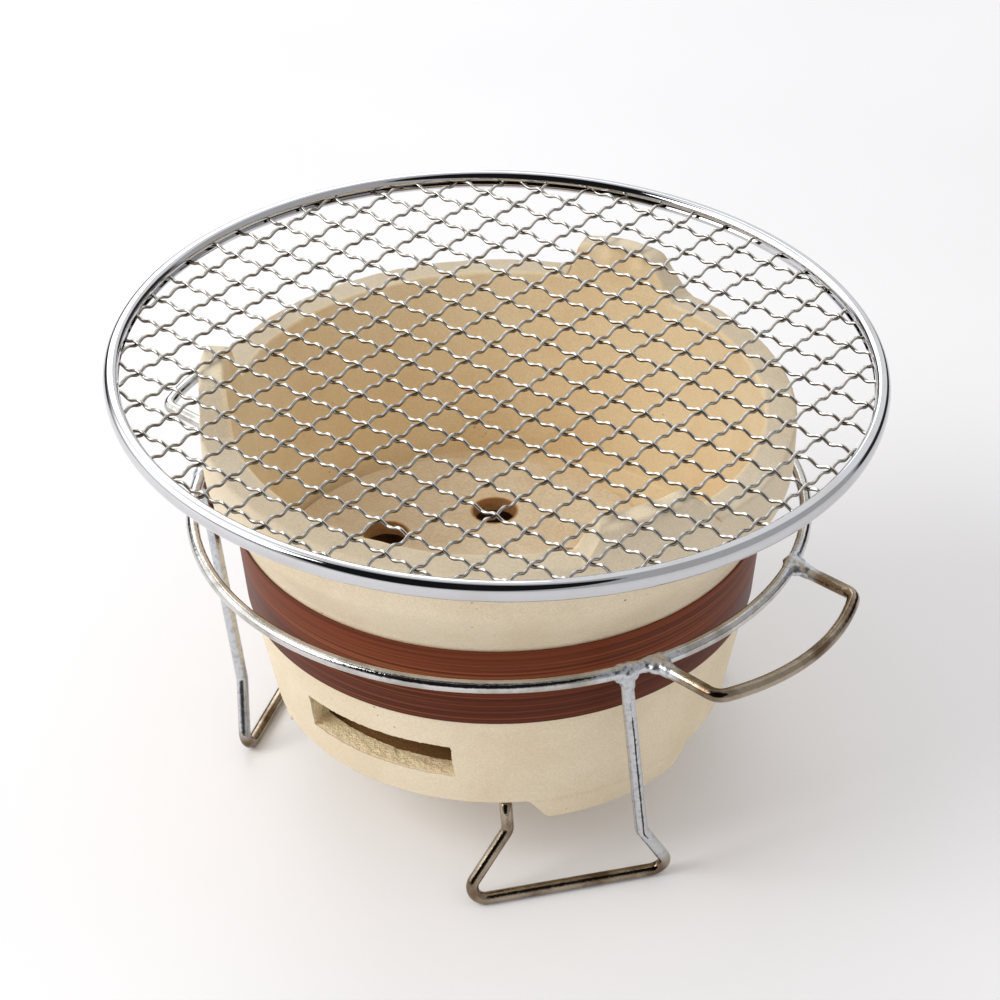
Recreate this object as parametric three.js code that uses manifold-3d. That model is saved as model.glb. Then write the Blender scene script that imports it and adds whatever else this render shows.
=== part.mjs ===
// A round table-top charcoal brazier: a moulded earthenware fire bowl that stands in a bent-wire
// carrier, with a loose pierced grate inside and a loose wire-net grill on top.
//
// Millimetres, +Z up. The origin is on the table, on the bowl's upright axis. The air slot looks
// towards -Y and a little to -X. An azimuth is counted from -Y towards +X.

import * as THREE from 'three';
import { mergeVertices } from 'three/addons/utils/BufferGeometryUtils.js';
import Module from 'manifold-3d';

const wasm = await Module();
wasm.setup();

// ---------------------------------------------------------------------------------------------
// Driving dimensions
// ---------------------------------------------------------------------------------------------

const FIT_GAP = 0.3; // between pieces that rest on, or are cut around, each other
const THIRDS = [0, 120, 240]; // the legs, lugs and feet repeat three times round the axis

// Wire carrier
const WIRE_DIAMETER = 5;
const WIRE_SIDES = 8;
const BEND_STEPS = 4;
const BEND_SHARE = 0.45; // of the shorter run beside a corner: the most that its bend may use
const RING_RADIUS = 122;
const RING_HEIGHT = 123.3;
const RING_STEPS = 64;

const LEG_AZIMUTH = 13; // square to the front leg's ground bar
const LEG_NAMES = ['leg_front', 'leg_rear_right', 'leg_rear_left'];
const LEG_BEND_RADIUS = 5.5;
const BAR_DISTANCE = 99.5; // ground bar to the axis
const BAR_OUTER_END = 46.2; // sharp corners, measured along the bar
const BAR_INNER_END = -40.4;
const BAR_FLAT = 0.3; // depth worn flat where the bar stands on the table
const KINK_HEIGHT = 30.1;
const OUTER_KINK = { along: 31.2, out: 5.4 }; // out is measured from the bar's own distance
const INNER_KINK = { along: -19.1, out: -7.1 };
const LEG_TOP_ALONG = 18.3;
const ARM_START_OUT = -10.8; // where the inner upright turns in under the bowl
const ARM_END_RADIUS = 5;

const HANDLES = {
  handle_right: { azimuth: 46.5, reach: 154.5 }, // reach runs from the axis to the grip's middle
  handle_left: { azimuth: 228.4, reach: 161.7 },
};
const HANDLE_HALF_WIDTH = 41;
const HANDLE_GRIP_RADIUS = 88;
const HANDLE_BEND_RADIUS = 6;
const HANDLE_GRIP_STEPS = 8;

const WELD_SIZE = { across: 4.6, upright: 5.4 }; // half sizes of a bead on the ring
const HUB_WELD_SIZE = { across: 9, upright: 2.3 };
const WELD_FACETS = { around: 8, upright: 6 };

// Fire bowl
const BOWL_STEPS = 72;
const BOWL_BASE = 43; // height of its underside, which rests on the carrier's three arms
const BASE_RADIUS = 94;
const BASE_EDGE = 2.5;
const FLOOR_THICKNESS = 13;
const BAND_BOTTOM = 90;
const BAND_TOP = 125.7;
const BAND_BOTTOM_RADIUS = 102.9;
const BAND_TOP_RADIUS = 105.5;
const BAND_THICKNESS = 0.8;
const COLLAR_RADIUS = 115.8;
const COLLAR_BOTTOM = 147;
const FLARE_START = 3; // above the band, where the waist starts to widen to the collar
const RIM_HEIGHT = 168;
const RIM_WIDTH = 12.6;
const RIM_EDGE = 1.4;
const LEDGE_HEIGHT = 82;
const LEDGE_OUTER_RADIUS = 95.6;
const LEDGE_INNER_RADIUS = 64;
const CHAMBER_FLOOR_RADIUS = 62;

const LUG_AZIMUTH = 30;
const LUG_RISE = 16.9; // on average: each lug reaches up to the grill, which lies tilted
const LUG_BASE_LENGTH = 51;
const LUG_TOP_LENGTH = 33;
const LUG_CORNER = 2.5;
const LUG_INSET = { base: 0.4, top: 1.5 }; // from both edges of the rim
const LUG_TRIM = 0.5; // cut off a lug's top, so that all of it follows the grill's tilt
const LUG_ROOT = 3; // how deep lugs and feet are rooted in the bowl

const FOOT_DROP = 8.7;
const FOOT_BASE_LENGTH = 66;
const FOOT_TIP_LENGTH = 51;
const FOOT_INNER_RADIUS = 72;

const VENT_AZIMUTH = -30;
const VENT_WIDTH = 64;
const VENT_BOTTOM = 60;
const VENT_HEIGHT = 16.5;
const VENT_WALL = 11; // depth of the cut slot before the passage opens out
const VENT_ROOF = 4; // material left between the passage and the ledge
const VENT_STEP = 1.5; // the passage is wider than the slot by this on each side

// Loose grate
const GRATE_PLAY = 14.1; // by which its radius is smaller than the ledge's
const GRATE_WALL_GAP = 1.2; // to the wall on the side that it lies against
const GRATE_THICKNESS = 6.2;
const GRATE_HOLES = 5;
const GRATE_HOLE_RADIUS = 9.3;
const GRATE_HOLE_CIRCLE = 41;
const GRATE_HOLE_START = 74.5; // degrees from +X to the first hole
const GRATE_STEPS = { edge: 56, hole: 16 };

// Loose grill
const GRILL_RADIUS = 150;
const GRILL_STEPS = 72;
const GRILL_TILT = { back: 1.24, right: 1.55 }; // degrees up at the back and down to the right
const GRILL_RIM_WIDTH = 6;
const GRILL_RIM_HEIGHT = 7.6;
const GRILL_RIM_DROP = 1.7; // how far the rim hangs below the net
const GRILL_RIM_ROUND = 1.5;
const GROOVE_DEPTH = 3.4;
const NET_WIRE = 1.6;
const NET_PITCH = 15;
const NET_TURN = 50.3; // degrees from +X to the first set of wires
const NET_CROSSING = new THREE.Vector2(6.2, 5.1); // a crossing near the middle, in the turned net
const NET_SELVEDGE = 3.4; // width of the net's edge, where the wire ends are folded in the groove
const LEAST_GAP_SHARE = 0.25; // a gap that the selvedge leaves less of than this is closed

// ---------------------------------------------------------------------------------------------
// Sizes that follow from them
// ---------------------------------------------------------------------------------------------

const WIRE_RADIUS = WIRE_DIAMETER / 2;
const BAR_HEIGHT = WIRE_RADIUS - BAR_FLAT;
const ARM_HEIGHT = BOWL_BASE - FIT_GAP - WIRE_RADIUS;
const CHAMBER_FLOOR = BOWL_BASE + FLOOR_THICKNESS;
const RIM_INNER_RADIUS = COLLAR_RADIUS - RIM_WIDTH;
const LUG_TOP = RIM_HEIGHT + LUG_RISE;
const NET_BOTTOM = LUG_TOP + FIT_GAP;
const GRATE_RADIUS = LEDGE_OUTER_RADIUS - GRATE_PLAY;
const GRATE_SHIFT = GRATE_PLAY - GRATE_WALL_GAP; // towards -X, off the bowl's axis

// ---------------------------------------------------------------------------------------------
// Finishes
// ---------------------------------------------------------------------------------------------

const steelWire = () => new THREE.MeshStandardMaterial({ color: 0xb9b3aa, roughness: 0.3, metalness: 1 });
const weldMetal = () => new THREE.MeshStandardMaterial({ color: 0x9d988f, roughness: 0.5, metalness: 1 });
const brightSteel = () => new THREE.MeshStandardMaterial({ color: 0xd6d8da, roughness: 0.12, metalness: 1 });
const paleClay = () => new THREE.MeshStandardMaterial({ color: 0xe6d3ae, roughness: 0.9, metalness: 0 });
const bakedClay = () => new THREE.MeshStandardMaterial({ color: 0xd9bd8c, roughness: 0.95, metalness: 0 });
const brownBand = () => new THREE.MeshStandardMaterial({ color: 0x6b341c, roughness: 0.4, metalness: 0 });

// ---------------------------------------------------------------------------------------------
// Solids
// ---------------------------------------------------------------------------------------------

/** Turn a closed geometry into a solid that can be joined and cut. */
function toSolid(geometry) {
  const bare = geometry.clone();
  bare.deleteAttribute('normal');
  bare.deleteAttribute('uv');
  const merged = mergeVertices(bare, 1e-4);
  const mesh = new wasm.Mesh({
    numProp: 3,
    vertProperties: new Float32Array(merged.attributes.position.array),
    triVerts: new Uint32Array(merged.index.array),
  });
  return new wasm.Manifold(mesh);
}

/** Turn a solid back into a geometry. */
function toGeometry(solid) {
  const mesh = solid.getMesh();
  const geometry = new THREE.BufferGeometry();
  geometry.setAttribute('position', new THREE.BufferAttribute(mesh.vertProperties, 3));
  geometry.setIndex(new THREE.BufferAttribute(mesh.triVerts, 1));
  geometry.computeVertexNormals();
  return geometry;
}

/** A body of revolution about +Z from a closed [radius, height] profile that runs anticlockwise. */
function turned(profile, steps) {
  const points = profile.map(([radius, height]) => new THREE.Vector2(radius, height));
  const onAxis = points[0].x === 0 && points[points.length - 1].x === 0;
  if (!onAxis) points.push(points[0].clone());
  return new THREE.LatheGeometry(points, steps).rotateX(Math.PI / 2);
}

/** An upright slice: an outline in X and Z, running outwards along -Y between two radii. */
function radialSlice(outline, innerRadius, outerRadius) {
  const shape = new THREE.Shape(outline.map(([x, z]) => new THREE.Vector2(x, z)));
  const options = { depth: outerRadius - innerRadius, bevelEnabled: false };
  return new THREE.ExtrudeGeometry(shape, options).rotateX(Math.PI / 2).translate(0, -innerRadius, 0);
}

/** A box that spans [x], [y] and [z] ranges. */
function block([x0, x1], [y0, y1], [z0, z1]) {
  const box = new THREE.BoxGeometry(x1 - x0, y1 - y0, z1 - z0);
  return box.translate((x0 + x1) / 2, (y0 + y1) / 2, (z0 + z1) / 2);
}

/** The centre line of a bent wire: straight runs and round bends, with stations only at turns. */
class BentWirePath extends THREE.Curve {
  /** @param corners array of { point, bend }, where bend is the bend's radius, or 0 for none */
  constructor(corners) {
    super();
    this.stations = [corners[0].point];
    for (let i = 1; i < corners.length - 1; i += 1) {
      this.stations.push(...BentWirePath.bendAt(corners[i - 1], corners[i], corners[i + 1]));
    }
    this.stations.push(corners[corners.length - 1].point);
  }

  static bendAt(before, corner, after) {
    if (corner.bend === 0) return [corner.point];
    const incoming = corner.point.clone().sub(before.point);
    const outgoing = after.point.clone().sub(corner.point);
    const shortestRun = Math.min(incoming.length(), outgoing.length());
    incoming.normalize();
    outgoing.normalize();
    const turn = incoming.angleTo(outgoing);
    const radius = Math.min(corner.bend, (BEND_SHARE * shortestRun) / Math.tan(turn / 2));
    const axis = incoming.clone().cross(outgoing).normalize();
    const start = corner.point.clone().addScaledVector(incoming, -radius * Math.tan(turn / 2));
    const centre = start.clone().addScaledVector(axis.clone().cross(incoming), radius);
    const arm = start.clone().sub(centre);
    const stations = [];
    for (let step = 0; step <= BEND_STEPS; step += 1) {
      stations.push(arm.clone().applyAxisAngle(axis, (turn * step) / BEND_STEPS).add(centre));
    }
    return stations;
  }

  get steps() {
    return this.stations.length - 1;
  }

  getPoint(t, target = new THREE.Vector3()) {
    const place = t * this.steps;
    const index = Math.min(Math.floor(place), this.steps - 1);
    return target.lerpVectors(this.stations[index], this.stations[index + 1], place - index);
  }

  getPointAt(u, target) {
    return this.getPoint(u, target);
  }

  getTangentAt(u, target = new THREE.Vector3()) {
    const index = Math.round(u * this.steps);
    const here = this.stations[index];
    const next = this.stations[Math.min(index + 1, this.steps)];
    const last = this.stations[Math.max(index - 1, 0)];
    target.copy(next).sub(here).normalize();
    return target.add(here.clone().sub(last).normalize()).normalize();
  }
}

/** A wire of the carrier's gauge, or a thicker one, along a bent path. */
function wireAlong(path, radius = WIRE_RADIUS) {
  const section = new THREE.Shape();
  for (let side = 0; side < WIRE_SIDES; side += 1) {
    const angle = ((side + 0.5) * 2 * Math.PI) / WIRE_SIDES;
    const [x, y] = [radius * Math.cos(angle), radius * Math.sin(angle)];
    if (side === 0) section.moveTo(x, y);
    else section.lineTo(x, y);
  }
  return new THREE.ExtrudeGeometry(section, { steps: path.steps, extrudePath: path, bevelEnabled: false });
}

/** A mesh under a name. */
function piece(name, geometry, material) {
  const mesh = new THREE.Mesh(geometry, material);
  mesh.name = name;
  return mesh;
}

/** A group turned about +Z, so that its own -Y looks along an azimuth. */
function turnedGroup(azimuth, ...meshes) {
  const group = new THREE.Group();
  group.rotation.z = THREE.MathUtils.degToRad(azimuth);
  group.add(...meshes);
  return group;
}

// ---------------------------------------------------------------------------------------------
// Wire carrier
// ---------------------------------------------------------------------------------------------

/** Distance out from the axis to the ring's centre line, at an offset to the side. */
function ringDistance(along, growth = 0) {
  return Math.sqrt((RING_RADIUS + growth) ** 2 - along ** 2);
}

/** The ring, or a thicker copy of it that clears it by a gap. */
function ringWire(growth = 0) {
  const ring = new THREE.TorusGeometry(RING_RADIUS, WIRE_RADIUS + growth, WIRE_SIDES, RING_STEPS);
  return ring.translate(0, 0, RING_HEIGHT);
}

/** One leg's centre line: down from the ring, out, along the table, back up and in to the hub. */
function legPath() {
  const at = (along, out, height, bend = LEG_BEND_RADIUS) => ({
    point: new THREE.Vector3(along, -(BAR_DISTANCE + out), height),
    bend,
  });
  const topOut = ringDistance(LEG_TOP_ALONG) - BAR_DISTANCE;
  const armStart = at(INNER_KINK.along, ARM_START_OUT, ARM_HEIGHT);
  const towardsHub = armStart.point.clone().setZ(0).normalize().multiplyScalar(ARM_END_RADIUS);
  return new BentWirePath([
    at(LEG_TOP_ALONG, topOut, RING_HEIGHT - WIRE_RADIUS - FIT_GAP),
    at(OUTER_KINK.along, OUTER_KINK.out, KINK_HEIGHT),
    at(BAR_OUTER_END, 0, BAR_HEIGHT),
    at(BAR_INNER_END, 0, BAR_HEIGHT),
    at(INNER_KINK.along, INNER_KINK.out, KINK_HEIGHT),
    armStart,
    { point: towardsHub.setZ(ARM_HEIGHT), bend: 0 },
  ]);
}

/** One leg, worn flat where its bar stands on the table. */
function legWire() {
  const reach = RING_RADIUS + WIRE_DIAMETER;
  const table = block([-reach, reach], [-reach, reach], [-WIRE_DIAMETER, 0]);
  return toGeometry(toSolid(wireAlong(legPath())).subtract(toSolid(table)));
}

/** All three legs where they stand, thicker by the gap that their neighbours keep. */
function thickLegs() {
  const leg = wireAlong(legPath(), WIRE_RADIUS + FIT_GAP);
  return THIRDS.map((turn) => leg.clone().rotateZ(THREE.MathUtils.degToRad(LEG_AZIMUTH + turn)));
}

/** A lump of weld metal around a point, open where the wires that it joins run through it. */
function weldBead(centre, size, ...wires) {
  const lump = new THREE.SphereGeometry(1, WELD_FACETS.around, WELD_FACETS.upright).rotateX(Math.PI / 2);
  lump.scale(size.across, size.across, size.upright).translate(centre.x, centre.y, centre.z);
  return toGeometry(wires.reduce((solid, wire) => solid.subtract(toSolid(wire)), toSolid(lump)));
}

/** A handle's centre line: two short stubs out from the ring and a bowed grip between them. */
function handlePath(reach) {
  const stubStart = ringDistance(HANDLE_HALF_WIDTH - WIRE_RADIUS, WIRE_RADIUS + FIT_GAP);
  const gripCentre = reach - HANDLE_GRIP_RADIUS;
  const halfAngle = Math.asin(HANDLE_HALF_WIDTH / HANDLE_GRIP_RADIUS);
  const corners = [{ point: new THREE.Vector3(-HANDLE_HALF_WIDTH, -stubStart, RING_HEIGHT), bend: 0 }];
  for (let step = 0; step <= HANDLE_GRIP_STEPS; step += 1) {
    const angle = halfAngle * ((2 * step) / HANDLE_GRIP_STEPS - 1);
    const distance = gripCentre + HANDLE_GRIP_RADIUS * Math.cos(angle);
    const isEnd = step === 0 || step === HANDLE_GRIP_STEPS;
    corners.push({
      point: new THREE.Vector3(HANDLE_GRIP_RADIUS * Math.sin(angle), -distance, RING_HEIGHT),
      bend: isEnd ? HANDLE_BEND_RADIUS : 0,
    });
  }
  corners.push({ point: new THREE.Vector3(HANDLE_HALF_WIDTH, -stubStart, RING_HEIGHT), bend: 0 });
  return new BentWirePath(corners);
}

/** Where a bead sits on the ring, at an offset to the side. */
function beadPlace(along, drop) {
  return new THREE.Vector3(along, -ringDistance(along), RING_HEIGHT - drop);
}

/** The ring, three legs, two handles and the welds that join them. */
function carrier() {
  const group = new THREE.Group();
  group.add(piece('ring', ringWire(), steelWire()));

  const leg = legWire();
  const thickRing = ringWire(FIT_GAP);
  const thickLeg = wireAlong(legPath(), WIRE_RADIUS + FIT_GAP);
  const legWeld = weldBead(beadPlace(LEG_TOP_ALONG, WIRE_RADIUS), WELD_SIZE, thickRing, thickLeg);
  THIRDS.forEach((turn, index) => {
    const name = LEG_NAMES[index];
    const meshes = [piece(name, leg, steelWire()), piece(`weld_${name}`, legWeld, weldMetal())];
    group.add(turnedGroup(LEG_AZIMUTH + turn, ...meshes));
  });

  Object.entries(HANDLES).forEach(([name, { azimuth, reach }]) => {
    const meshes = [piece(name, wireAlong(handlePath(reach)), steelWire())];
    const thickHandle = wireAlong(handlePath(reach), WIRE_RADIUS + FIT_GAP);
    [['a', -HANDLE_HALF_WIDTH], ['b', HANDLE_HALF_WIDTH]].forEach(([end, along]) => {
      const place = beadPlace(along, 0);
      const bead = weldBead(place, WELD_SIZE, thickRing, thickHandle);
      meshes.push(piece(`weld_${name}_${end}`, bead, weldMetal()));
    });
    group.add(turnedGroup(azimuth, ...meshes));
  });

  const hub = weldBead(new THREE.Vector3(0, 0, ARM_HEIGHT), HUB_WELD_SIZE, ...thickLegs());
  group.add(piece('weld_hub', hub, weldMetal()));
  return group;
}

// ---------------------------------------------------------------------------------------------
// Fire bowl
// ---------------------------------------------------------------------------------------------

/** Radius of the bowl's wall behind the band, at a height. */
function waistRadius(height) {
  const share = (height - BAND_BOTTOM) / (BAND_TOP - BAND_BOTTOM);
  return THREE.MathUtils.lerp(BAND_BOTTOM_RADIUS, BAND_TOP_RADIUS, share) - BAND_THICKNESS - FIT_GAP;
}

/** The bowl's section: base, tapered wall, flare, collar, rim, fire space, ledge, ash chamber. */
function bowlProfile() {
  const flareStart = BAND_TOP + FLARE_START;
  return [
    [0, BOWL_BASE],
    [BASE_RADIUS - BASE_EDGE, BOWL_BASE],
    [BASE_RADIUS, BOWL_BASE + BASE_EDGE],
    [waistRadius(BAND_BOTTOM), BAND_BOTTOM],
    [waistRadius(BAND_TOP), BAND_TOP],
    [waistRadius(flareStart), flareStart],
    [COLLAR_RADIUS, COLLAR_BOTTOM],
    [COLLAR_RADIUS, RIM_HEIGHT - RIM_EDGE],
    [COLLAR_RADIUS - RIM_EDGE, RIM_HEIGHT],
    [RIM_INNER_RADIUS + RIM_EDGE, RIM_HEIGHT],
    [RIM_INNER_RADIUS, RIM_HEIGHT - RIM_EDGE],
    [LEDGE_OUTER_RADIUS, LEDGE_HEIGHT],
    [LEDGE_INNER_RADIUS, LEDGE_HEIGHT],
    [CHAMBER_FLOOR_RADIUS, CHAMBER_FLOOR],
    [0, CHAMBER_FLOOR],
  ];
}

/** A solid turned about +Z, so that what looked along -Y looks along an azimuth. */
function facing(geometry, azimuth) {
  return toSolid(geometry.clone().rotateZ(THREE.MathUtils.degToRad(azimuth)));
}

/** The move that lays a level grill onto the lugs with its tilt. */
function grillTilt() {
  const toBack = new THREE.Matrix4().makeRotationX(THREE.MathUtils.degToRad(GRILL_TILT.back));
  const toRight = new THREE.Matrix4().makeRotationY(THREE.MathUtils.degToRad(GRILL_TILT.right));
  const down = new THREE.Matrix4().makeTranslation(0, 0, -NET_BOTTOM);
  return down.clone().invert().multiply(toBack).multiply(toRight).multiply(down);
}

/** Height of a lug's middle, just under the grill, at its azimuth. */
function lugTop(azimuth) {
  const angle = THREE.MathUtils.degToRad(azimuth);
  const radius = (RIM_INNER_RADIUS + COLLAR_RADIUS) / 2;
  const place = new THREE.Vector3(radius * Math.sin(angle), -radius * Math.cos(angle), NET_BOTTOM);
  return place.applyMatrix4(grillTilt()).z - FIT_GAP;
}

/** One of the raised lugs that carry the grill, as a block across the rim up to a height. */
function lug(height) {
  const [base, top] = [LUG_BASE_LENGTH / 2, LUG_TOP_LENGTH / 2];
  const outline = [
    [-base, RIM_HEIGHT - LUG_ROOT],
    [base, RIM_HEIGHT - LUG_ROOT],
    [base, RIM_HEIGHT],
    [top, height - LUG_CORNER],
    [top - LUG_CORNER, height],
    [-top + LUG_CORNER, height],
    [-top, height - LUG_CORNER],
    [-base, RIM_HEIGHT],
  ];
  return radialSlice(outline, RIM_INNER_RADIUS / 2, COLLAR_RADIUS + LUG_ROOT);
}

/** The space round the rim that lugs may fill, leaning in towards a height. */
function lugSpace(height) {
  const section = [
    [RIM_INNER_RADIUS + LUG_INSET.base, RIM_HEIGHT - LUG_ROOT],
    [COLLAR_RADIUS - LUG_INSET.base, RIM_HEIGHT - LUG_ROOT],
    [COLLAR_RADIUS - LUG_INSET.top, height],
    [RIM_INNER_RADIUS + LUG_INSET.top, height],
  ];
  return turned(section, BOWL_STEPS);
}

/** The three lugs, trimmed to the plane that the grill lies in. */
function lugs() {
  const azimuths = THIRDS.map((turn) => LUG_AZIMUTH + turn);
  const heights = azimuths.map((azimuth) => lugTop(azimuth) + LUG_TRIM);
  const blocks = azimuths.map((azimuth, index) => facing(lug(heights[index]), azimuth));
  const sides = [-GRILL_RADIUS, GRILL_RADIUS];
  const above = block(sides, sides, [NET_BOTTOM - FIT_GAP, NET_BOTTOM + LUG_RISE]);
  return blocks
    .reduce((solid, other) => solid.add(other))
    .intersect(toSolid(lugSpace(Math.max(...heights))))
    .subtract(toSolid(above.applyMatrix4(grillTilt())));
}

/** One of the feet below the base, as a block that tapers downwards. */
function foot() {
  const [base, tip] = [FOOT_BASE_LENGTH / 2, FOOT_TIP_LENGTH / 2];
  const outline = [
    [-base, BOWL_BASE],
    [-tip, BOWL_BASE - FOOT_DROP],
    [tip, BOWL_BASE - FOOT_DROP],
    [base, BOWL_BASE],
    [base, BOWL_BASE + LUG_ROOT],
    [-base, BOWL_BASE + LUG_ROOT],
  ];
  return radialSlice(outline, 0, BASE_RADIUS + LUG_ROOT);
}

/** The space under the base that a foot may fill. */
function footSpace() {
  const section = [
    [FOOT_INNER_RADIUS, BOWL_BASE - FOOT_DROP],
    [BASE_RADIUS - BASE_EDGE, BOWL_BASE - FOOT_DROP],
    [BASE_RADIUS - BASE_EDGE, BOWL_BASE + LUG_ROOT],
    [FOOT_INNER_RADIUS, BOWL_BASE + LUG_ROOT],
  ];
  return turned(section, BOWL_STEPS);
}

/** Radius of the bowl's wall below the band, at a height. */
function lowerWallRadius(height) {
  const wallBottom = BOWL_BASE + BASE_EDGE;
  const share = (height - wallBottom) / (BAND_BOTTOM - wallBottom);
  return THREE.MathUtils.lerp(BASE_RADIUS, waistRadius(BAND_BOTTOM), share);
}

/** The air slot: a neat cut through the outer wall, then a taller passage into the ash chamber. */
function ventCut() {
  const half = VENT_WIDTH / 2;
  const slot = block([-half, half], [-COLLAR_RADIUS, 0], [VENT_BOTTOM, VENT_BOTTOM + VENT_HEIGHT]);
  const passageHalf = half + VENT_STEP;
  const [floor, roof] = [CHAMBER_FLOOR, LEDGE_HEIGHT - VENT_ROOF];
  const passage = block([-passageHalf, passageHalf], [-COLLAR_RADIUS, 0], [floor, roof]);
  const reach = lowerWallRadius(VENT_BOTTOM) - VENT_WALL;
  const behindWall = toSolid(turned([[0, floor], [reach, floor], [reach, roof], [0, roof]], BOWL_STEPS));
  return facing(slot, VENT_AZIMUTH).add(facing(passage, VENT_AZIMUTH).intersect(behindWall));
}

/** The moulded bowl with its lugs, feet and air slot. */
function bowlShell() {
  const body = toSolid(turned(bowlProfile(), BOWL_STEPS));
  const footSolid = THIRDS.map((turn) => facing(foot(), LUG_AZIMUTH + turn)).reduce((a, b) => a.add(b));
  const feet = thickLegs().reduce((solid, leg) => solid.subtract(toSolid(leg)), footSolid);
  return toGeometry(
    body
      .add(lugs())
      .add(feet.intersect(toSolid(footSpace())))
      .subtract(ventCut()),
  );
}

/** The band round the waist. */
function waistBand() {
  const inner = (radius) => radius - BAND_THICKNESS;
  const section = [
    [inner(BAND_BOTTOM_RADIUS), BAND_BOTTOM],
    [BAND_BOTTOM_RADIUS, BAND_BOTTOM],
    [BAND_TOP_RADIUS, BAND_TOP],
    [inner(BAND_TOP_RADIUS), BAND_TOP],
  ];
  return turned(section, BOWL_STEPS);
}

function fireBowl() {
  const group = new THREE.Group();
  group.add(piece('bowl', bowlShell(), paleClay()));
  group.add(piece('waist_band', waistBand(), brownBand()));
  return group;
}

// ---------------------------------------------------------------------------------------------
// Grate and grill
// ---------------------------------------------------------------------------------------------

/** A round outline of straight steps, as a shape or as a hole in one. */
function roundOutline(outline, centre, radius, steps) {
  const points = [];
  for (let step = 0; step < steps; step += 1) {
    const angle = (2 * Math.PI * step) / steps;
    points.push(new THREE.Vector2(radius * Math.cos(angle), radius * Math.sin(angle)).add(centre));
  }
  return outline.setFromPoints(points);
}

/** The loose pierced disc that the charcoal lies on. */
function grate() {
  const disc = roundOutline(new THREE.Shape(), new THREE.Vector2(), GRATE_RADIUS, GRATE_STEPS.edge);
  for (let hole = 0; hole < GRATE_HOLES; hole += 1) {
    const angle = THREE.MathUtils.degToRad(GRATE_HOLE_START + (360 * hole) / GRATE_HOLES);
    const centre = new THREE.Vector2(Math.cos(angle), Math.sin(angle)).multiplyScalar(GRATE_HOLE_CIRCLE);
    disc.holes.push(roundOutline(new THREE.Path(), centre, GRATE_HOLE_RADIUS, GRATE_STEPS.hole));
  }
  const options = { depth: GRATE_THICKNESS, bevelEnabled: false };
  const mesh = piece('grate', new THREE.ExtrudeGeometry(disc, options), bakedClay());
  mesh.position.set(-GRATE_SHIFT, 0, LEDGE_HEIGHT + FIT_GAP);
  return mesh;
}

/** The grill's bright rim: a rounded band with a groove inside that grips the net. */
function grillRim() {
  const bottom = NET_BOTTOM - GRILL_RIM_DROP;
  const top = bottom + GRILL_RIM_HEIGHT;
  const inner = GRILL_RADIUS - GRILL_RIM_WIDTH;
  const round = GRILL_RIM_ROUND;
  const section = [
    [inner + round, bottom],
    [GRILL_RADIUS - round, bottom],
    [GRILL_RADIUS, bottom + round],
    [GRILL_RADIUS, top - round],
    [GRILL_RADIUS - round, top],
    [inner + round, top],
    [inner, top - round],
    [inner, NET_BOTTOM + NET_WIRE + FIT_GAP],
    [inner + GROOVE_DEPTH, NET_BOTTOM + NET_WIRE + FIT_GAP],
    [inner + GROOVE_DEPTH, NET_BOTTOM - FIT_GAP],
    [inner, NET_BOTTOM - FIT_GAP],
  ];
  return turned(section, GRILL_STEPS);
}

/** The part of a square gap that lies inside a circle round the axis, as a list of corners. */
function gapInside(low, size, radius) {
  const square = [[0, 0], [size, 0], [size, size], [0, size]];
  const corners = square.map(([x, y]) => new THREE.Vector2(x, y).add(low));
  const kept = [];
  corners.forEach((corner, index) => {
    const side = corners[(index + 1) % corners.length].clone().sub(corner);
    if (corner.length() < radius) kept.push(corner);
    kept.push(...circleMeets(corner, side, radius));
  });
  return kept;
}

/** Where a straight side from a corner meets a circle round the axis. */
function circleMeets(corner, side, radius) {
  const [a, b, c] = [side.lengthSq(), corner.dot(side), corner.lengthSq() - radius ** 2];
  const discriminant = b * b - a * c;
  if (discriminant <= 0) return [];
  const root = Math.sqrt(discriminant);
  const shares = [(-b - root) / a, (-b + root) / a].filter((share) => share > 0 && share < 1);
  return shares.map((share) => corner.clone().addScaledVector(side, share));
}

/** The flat net: two crossing sets of wires, and an edge that lies in the rim's groove. */
function grillNet() {
  const reach = GRILL_RADIUS - GRILL_RIM_WIDTH + GROOVE_DEPTH - FIT_GAP;
  const sheet = roundOutline(new THREE.Shape(), new THREE.Vector2(), reach, GRILL_STEPS);
  const gapSize = NET_PITCH - NET_WIRE;
  const leastArea = LEAST_GAP_SHARE * gapSize ** 2;
  const firstGap = NET_CROSSING.clone().addScalar(NET_WIRE / 2);
  const count = Math.ceil(reach / NET_PITCH) + 1;
  const turn = THREE.MathUtils.degToRad(NET_TURN);
  for (let column = -count; column <= count; column += 1) {
    for (let row = -count; row <= count; row += 1) {
      const low = new THREE.Vector2(column, row).multiplyScalar(NET_PITCH).add(firstGap);
      const corners = gapInside(low, gapSize, reach - NET_SELVEDGE);
      const isOpen = corners.length > 2 && THREE.ShapeUtils.area(corners) > leastArea;
      const placed = corners.map((corner) => corner.rotateAround(new THREE.Vector2(), turn));
      if (isOpen) sheet.holes.push(new THREE.Path(placed));
    }
  }
  const options = { depth: NET_WIRE, bevelEnabled: false };
  const mesh = piece('grill_net', new THREE.ExtrudeGeometry(sheet, options), brightSteel());
  mesh.position.z = NET_BOTTOM;
  return mesh;
}

function grill() {
  const group = new THREE.Group();
  group.add(piece('grill_rim', grillRim(), brightSteel()));
  group.add(grillNet());
  group.applyMatrix4(grillTilt());
  return group;
}

// ---------------------------------------------------------------------------------------------
// The whole object
// ---------------------------------------------------------------------------------------------

const brazier = new THREE.Group();
brazier.add(carrier(), fireBowl(), grate(), grill());

export default brazier;
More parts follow.
